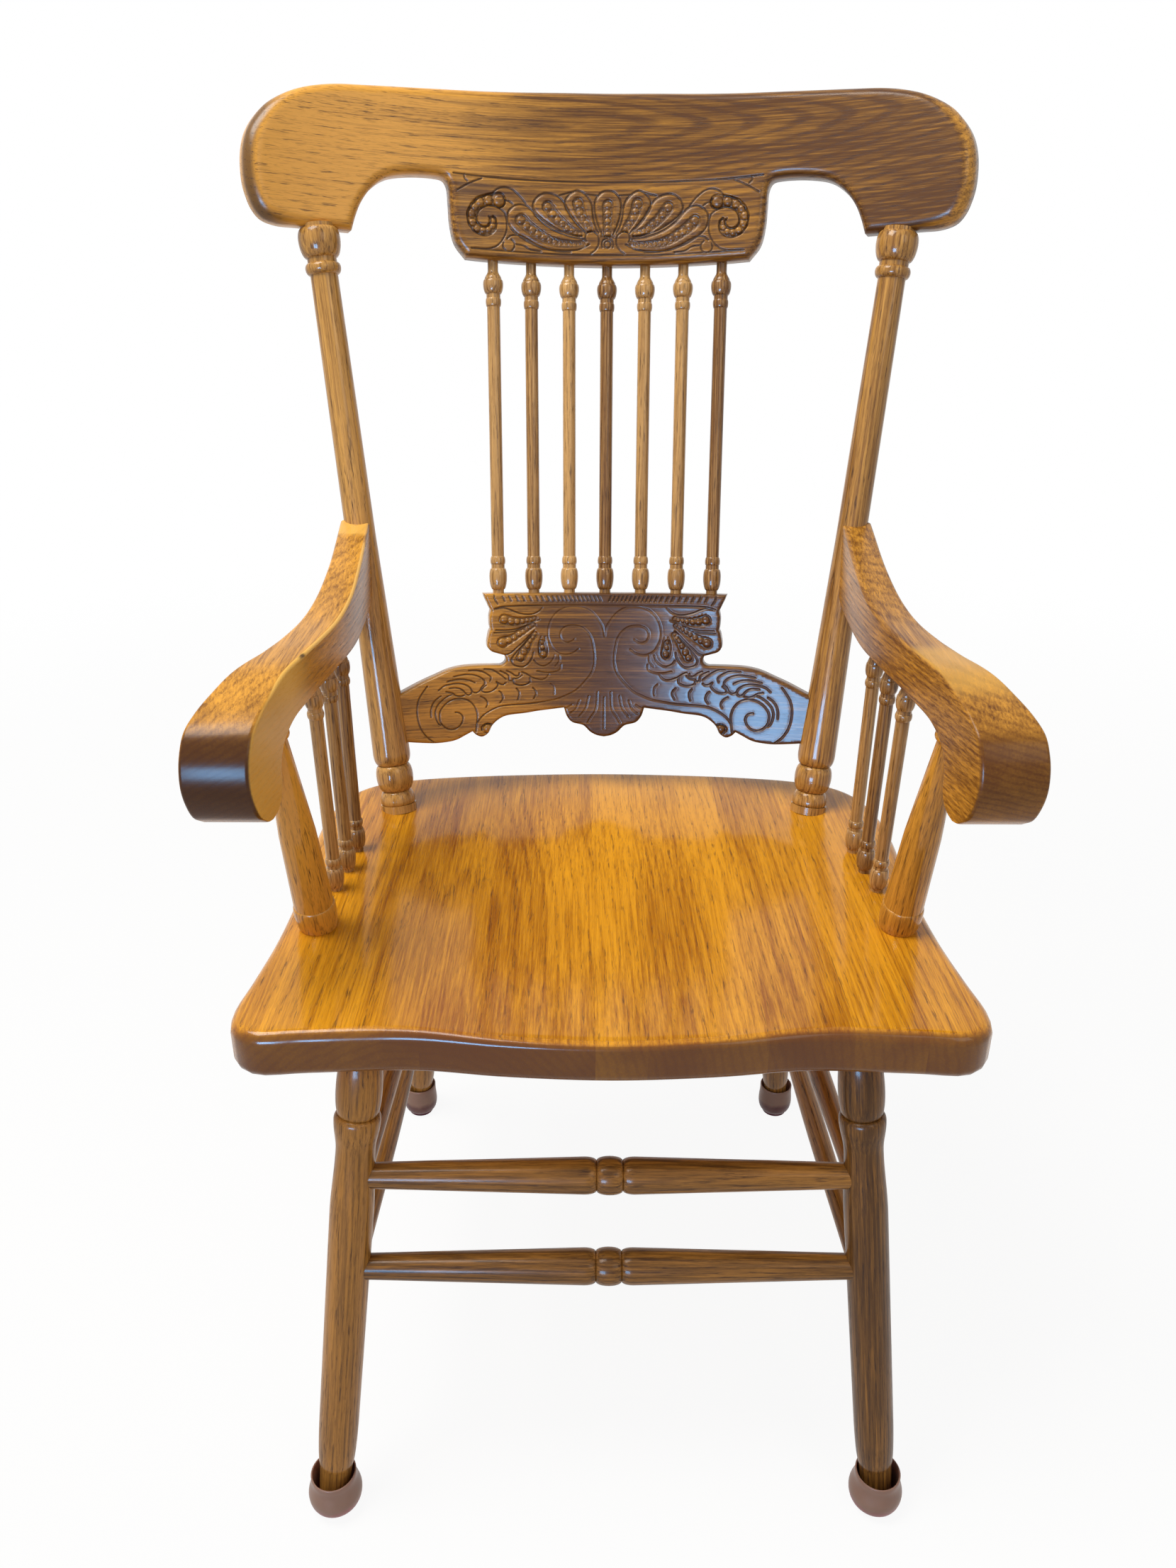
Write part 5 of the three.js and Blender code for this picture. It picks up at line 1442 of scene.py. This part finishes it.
class CHAIR_OT_arms(PieceOperator, bpy.types.Operator):
    """The two sawn arms that end in scrolls"""

    bl_idname = "chair.arms"
    bl_label = "Arms"

    def build(self, choice, finishes):
        material = oak(
            "arm oak", finishes, "arm", rings=210, pith=(0.03, -0.1), slope=0.05, pores=0.6,
            coat=0.22, shine=0.4, vary=0.8, bands=0.16, worn=True,
        )
        for side, sign in SIDES.items():
            mesh = self.sawn(sign)
            spot = read_points(mesh)
            fields = self.wear(side, sign, spot, read_points(mesh, facing=True))
            grain = spot[:, [1, 2, 0]] * MM + [sign * 0.4, 0, 0]
            finish_piece(f"{side}_arm", mesh, "arm_oak", material, grain=grain, **fields)

    def sawn(self, sign):
        """An arm, drawn out section by section along its profile."""
        size = [ARM_REACH, ARM_HEIGHT, ARM_REACH, ARM_HEIGHT]
        ring = []
        for quarter, (right, high) in enumerate([(1, 1), (0, 1), (0, 0), (1, 0)]):
            for i in range(ARM_CORNER + 1):
                turn = QUARTER * (quarter + i / ARM_CORNER)
                ring.append((right, high, math.cos(turn), math.sin(turn)))
        shape = bmesh.new()
        loop = [shape.verts.new((i, 0, 0)) for i in range(len(ring))]
        edges = [shape.edges.new((loop[i - 1], loop[i])) for i in range(len(ring))]
        sections = []
        for number, row in enumerate(curve(np.array(ARM_PROFILE) * size, per=9)):
            if number:
                made = bmesh.ops.extrude_edge_only(shape, edges=edges)["geom"]
                fresh = set(made)
                loop = [
                    next(e.other_vert(v) for e in v.link_edges if e.other_vert(v) in fresh)
                    for v in loop
                ]
                edges = [
                    item for item in made
                    if isinstance(item, bmesh.types.BMEdge) and fresh.issuperset(item.verts)
                ]
            sections.append(loop)
            self.lay(loop, ring, row, sign)
        for section in (sections[0], sections[-1]):
            bmesh.ops.contextual_create(shape, geom=section)
        bmesh.ops.recalc_face_normals(shape, faces=shape.faces)
        return as_mesh(shape, "arm")

    def lay(self, loop, ring, row, sign):
        """Places one section, square across between the top and under lines."""
        top_along, top_height, under_along, under_height = row
        tall = math.hypot(under_along - top_along, top_height - under_height)
        radius = min(3, tall * 0.4)
        for vert, (right, high, across, up) in zip(loop, ring):
            share = ((tall - radius if high else radius) + radius * up) / tall
            y = ARM_START - under_along + (under_along - top_along) * share
            z = SEAT_TOP + under_height + (top_height - under_height) * share
            middle, half = arm_plan(y)
            out = (half - radius if right else radius - half) + radius * across
            vert.co = (sign * (middle + out), y, z)

    def wear(self, side, sign, spot, facing):
        """Wear, tone, painted shade and highlight on an arm, and where its end grain shows."""
        along = (ARM_START - spot[:, 1]) / ARM_REACH
        inward = -sign * facing[:, 0]
        inner = eased(inward, 0.4, 0.4)
        upper = eased(facing[:, 2], 0.3, 0.5)
        front = eased(-facing[:, 1], 0.3, 0.6)
        if side == "right":
            raised = np.hypot(facing[:, 1], facing[:, 2]) * (facing[:, 2] > 0)
            corner = eased(np.minimum(raised, inward), 0.15, 0.3)
            worn = 0.6 * inner * eased(along, 0.6, 0.2)
            worn += 0.55 * upper * (1 - eased(along, 0.055, 0.02))
            worn += 1.4 * corner * eased(along, 0.08, 0.05) * (1 - eased(along, 0.8, 0.1))
            # Its inner face is painted darker toward the post, painted shade; its darker front is
            # end grain
            tone = 0.2 - 2.1 * front - 0.9 * inner * (1 - eased(along, 0.35, 0.2))
            shade = 0.7 * front + 1.2 * bell(along - 0.722, 0.012) * corner
        else:
            # The pale patch on this arm's top is a painted highlight
            worn = 0.45 * upper * eased(along, 0.6, 0.1) * eased(0.93 - along, 0, 0.1)
            tone = -0.5 - 1.2 * front
            shade = 0.3 * front
        ends = eased(np.abs(facing[:, 1]), 0.2, 0.6)
        return dict(worn=worn, tone=tone, shade=shade, ends=ends)


class CHAIR_OT_arm_posts(PieceOperator, bpy.types.Operator):
    """The turned posts under the fronts of the arms"""

    bl_idname = "chair.arm_posts"
    bl_label = "Arm posts"

    def build(self, choice, finishes):
        material = oak("arm post oak", finishes, "arm")
        for side, sign in SIDES.items():
            foot = chair_point(ARM_POST_FOOT, sign, SEAT_TOP + FIT)
            under = under_arm(ARM_POST_SHARE)
            top = Vector((sign * (under.x - ARM_POST_INSET), under.y, under.z - FIT))
            shaft = (top - foot).length - ARM_POST_BULB - ARM_POST_RING
            turning = (
                Turning(13.9).to(POST_TENON).bead(ARM_POST_BULB, 16.5, 15.6, 16)
                .to(shaft * 0.45, 14).to(shaft * 0.55, 8.2).bead(ARM_POST_RING, 10.6, 4.8).to(6)
            )
            turned_piece(
                f"{side}_arm_post", turning, foot, top, "post_oak", material, choice.sides,
                POST_TENON,
            )


class CHAIR_OT_arm_spindles(PieceOperator, bpy.types.Operator):
    """The three small spindles under each arm"""

    bl_idname = "chair.arm_spindles"
    bl_label = "Arm spindles"

    def build(self, choice, finishes):
        material = oak("arm spindle oak", finishes, "spindle", rings=420, pith=(0.008, 0.02))
        for side, sign in SIDES.items():
            for place, (x, y, share) in ARM_SPINDLES.items():
                foot = chair_point((x, y), sign, SEAT_TOP + FIT)
                under = under_arm(share)
                top = chair_point(under, sign, under.z - FIT)
                node = f"{side}_{place}_arm_spindle"
                small_spindle(node, ARM_SPINDLE, foot, top, material, choice.sides)


class CHAIR_OT_stage(bpy.types.Operator):
    """The pale floor, the lamps and the camera"""

    bl_idname = "chair.stage"
    bl_label = "Floor, lamps and camera"

    def execute(self, context):
        """Builds the plain studio."""
        scene = context.scene
        choice = scene.chair_stage
        scene.view_settings.view_transform = "Standard"
        shape = bmesh.new()
        bmesh.ops.create_grid(shape, x_segments=2, y_segments=2, size=4)
        mesh = as_mesh(shape, "floor")
        mesh.materials.append(self.floor_finish(choice))
        floor = bpy.data.objects.new("floor", mesh)
        floor.location.z = -0.0005
        scene.collection.objects.link(floor)
        self.surround(scene, choice)
        self.lamp("key_lamp", choice.key, (1.1, 1.1), (-0.9, -0.35, 2.5), (1, 0.97, 0.92))
        self.lamp("side_lamp", choice.side, (1.2, 1.2), (1.25, -1.95, 2.1), (1, 0.93, 0.82))
        window = (1.0, 0.7), (-0.9, -2.6, 0.5), (0.22, 0.56, 1)
        self.lamp("window_lamp", choice.window, *window).visible_diffuse = False
        self.camera(scene)
        return {"FINISHED"}

    def floor_finish(self, choice):
        """Pale paint that the camera sees nearly white, with the chair's shadow on it."""
        finish = Finish(bpy.data.materials.new("pale floor"))
        sockets = {"Color": colour(choice.floor), "Roughness": 1}
        paint = finish.node("ShaderNodeBsdfDiffuse", None, sockets)
        glow = finish.node("ShaderNodeEmission", None, {"Color": (1, 1, 1, 1), "Strength": 1})
        far = finish.vector("LENGTH", finish.object_place())["Value"]
        return finish.mixture(finish.seen() * (far.ease(1, 3) * 0.08 + 0.92), paint, glow)

    def surround(self, scene, choice):
        """An even pale room, white behind the chair."""
        finish = Finish(bpy.data.worlds.new("pale room"))
        lit, white = (
            finish.node("ShaderNodeBackground", None, {"Color": (1, 1, 1, 1), "Strength": level})
            for level in (choice.fill, 1)
        )
        scene.world = finish.mixture(finish.seen(), lit, white, "ShaderNodeOutputWorld")

    def lamp(self, name, power, size, place, tint):
        """A soft lamp that looks at the chair."""
        light = bpy.data.lights.new(name, "AREA")
        light.energy = power
        light.shape = "RECTANGLE"
        light.size, light.size_y = size
        light.color = tint
        lamp = bpy.data.objects.new(name, light)
        lamp.location = place
        away = Vector((0, 0, 0.5)) - lamp.location
        lamp.rotation_euler = away.to_track_quat("-Z", "Y").to_euler()
        bpy.context.scene.collection.objects.link(lamp)
        return lamp

    def camera(self, scene):
        """A camera where the photograph was taken from."""
        turn = (
            Matrix.Rotation(CAMERA_YAW, 4, "Z")
            @ Matrix.Rotation(QUARTER - CAMERA_PITCH, 4, "X")
            @ Matrix.Rotation(CAMERA_ROLL, 4, "Z")
        )
        lens = bpy.data.cameras.new("camera")
        lens.sensor_width = 36
        lens.lens = lens.sensor_width * FOCAL_LENGTH / PHOTO_HEIGHT
        camera = bpy.data.objects.new("camera", lens)
        camera.matrix_world = Matrix.Translation(PLACE @ Vector(CAMERA_PLACE)) @ turn
        scene.collection.objects.link(camera)
        scene.camera = camera


OPERATORS = [
    CHAIR_OT_seat, CHAIR_OT_legs, CHAIR_OT_caps, CHAIR_OT_stretchers, CHAIR_OT_crest_rail,
    CHAIR_OT_lower_splat, CHAIR_OT_back_posts, CHAIR_OT_back_spindles, CHAIR_OT_arms,
    CHAIR_OT_arm_posts, CHAIR_OT_arm_spindles, CHAIR_OT_stage,
]
SETTINGS = {"chair_shape": ChairShape, "chair_finish": ChairFinish, "chair_stage": ChairStage}


class CHAIR_PT_pieces(bpy.types.Panel):
    """Lists the chair's pieces in the sidebar"""

    bl_idname = "CHAIR_PT_pieces"
    bl_label = "Captain's chair"
    bl_space_type = "VIEW_3D"
    bl_region_type = "UI"
    bl_category = "Chair"

    def draw(self, context):
        """A button for each piece, then the sizes and colours."""
        for operator in OPERATORS:
            self.layout.operator(operator.bl_idname)
        for setting, group in SETTINGS.items():
            for name in group.__annotations__:
                self.layout.prop(getattr(context.scene, setting), name)


CLASSES = [*SETTINGS.values(), *OPERATORS, CHAIR_PT_pieces]


def register():
    """Adds the chair's classes and its settings."""
    for kind in CLASSES:
        bpy.utils.register_class(kind)
    for setting, group in SETTINGS.items():
        setattr(bpy.types.Scene, setting, bpy.props.PointerProperty(type=group))


def unregister():
    """Takes the chair's settings and classes away again."""
    for setting in SETTINGS:
        delattr(bpy.types.Scene, setting)
    for kind in reversed(CLASSES):
        bpy.utils.unregister_class(kind)


def main():
    """Builds every piece."""
    register()
    for operator in OPERATORS:
        getattr(bpy.ops.chair, operator.bl_idname.split(".")[1])()


if __name__ == "__main__":
    main()
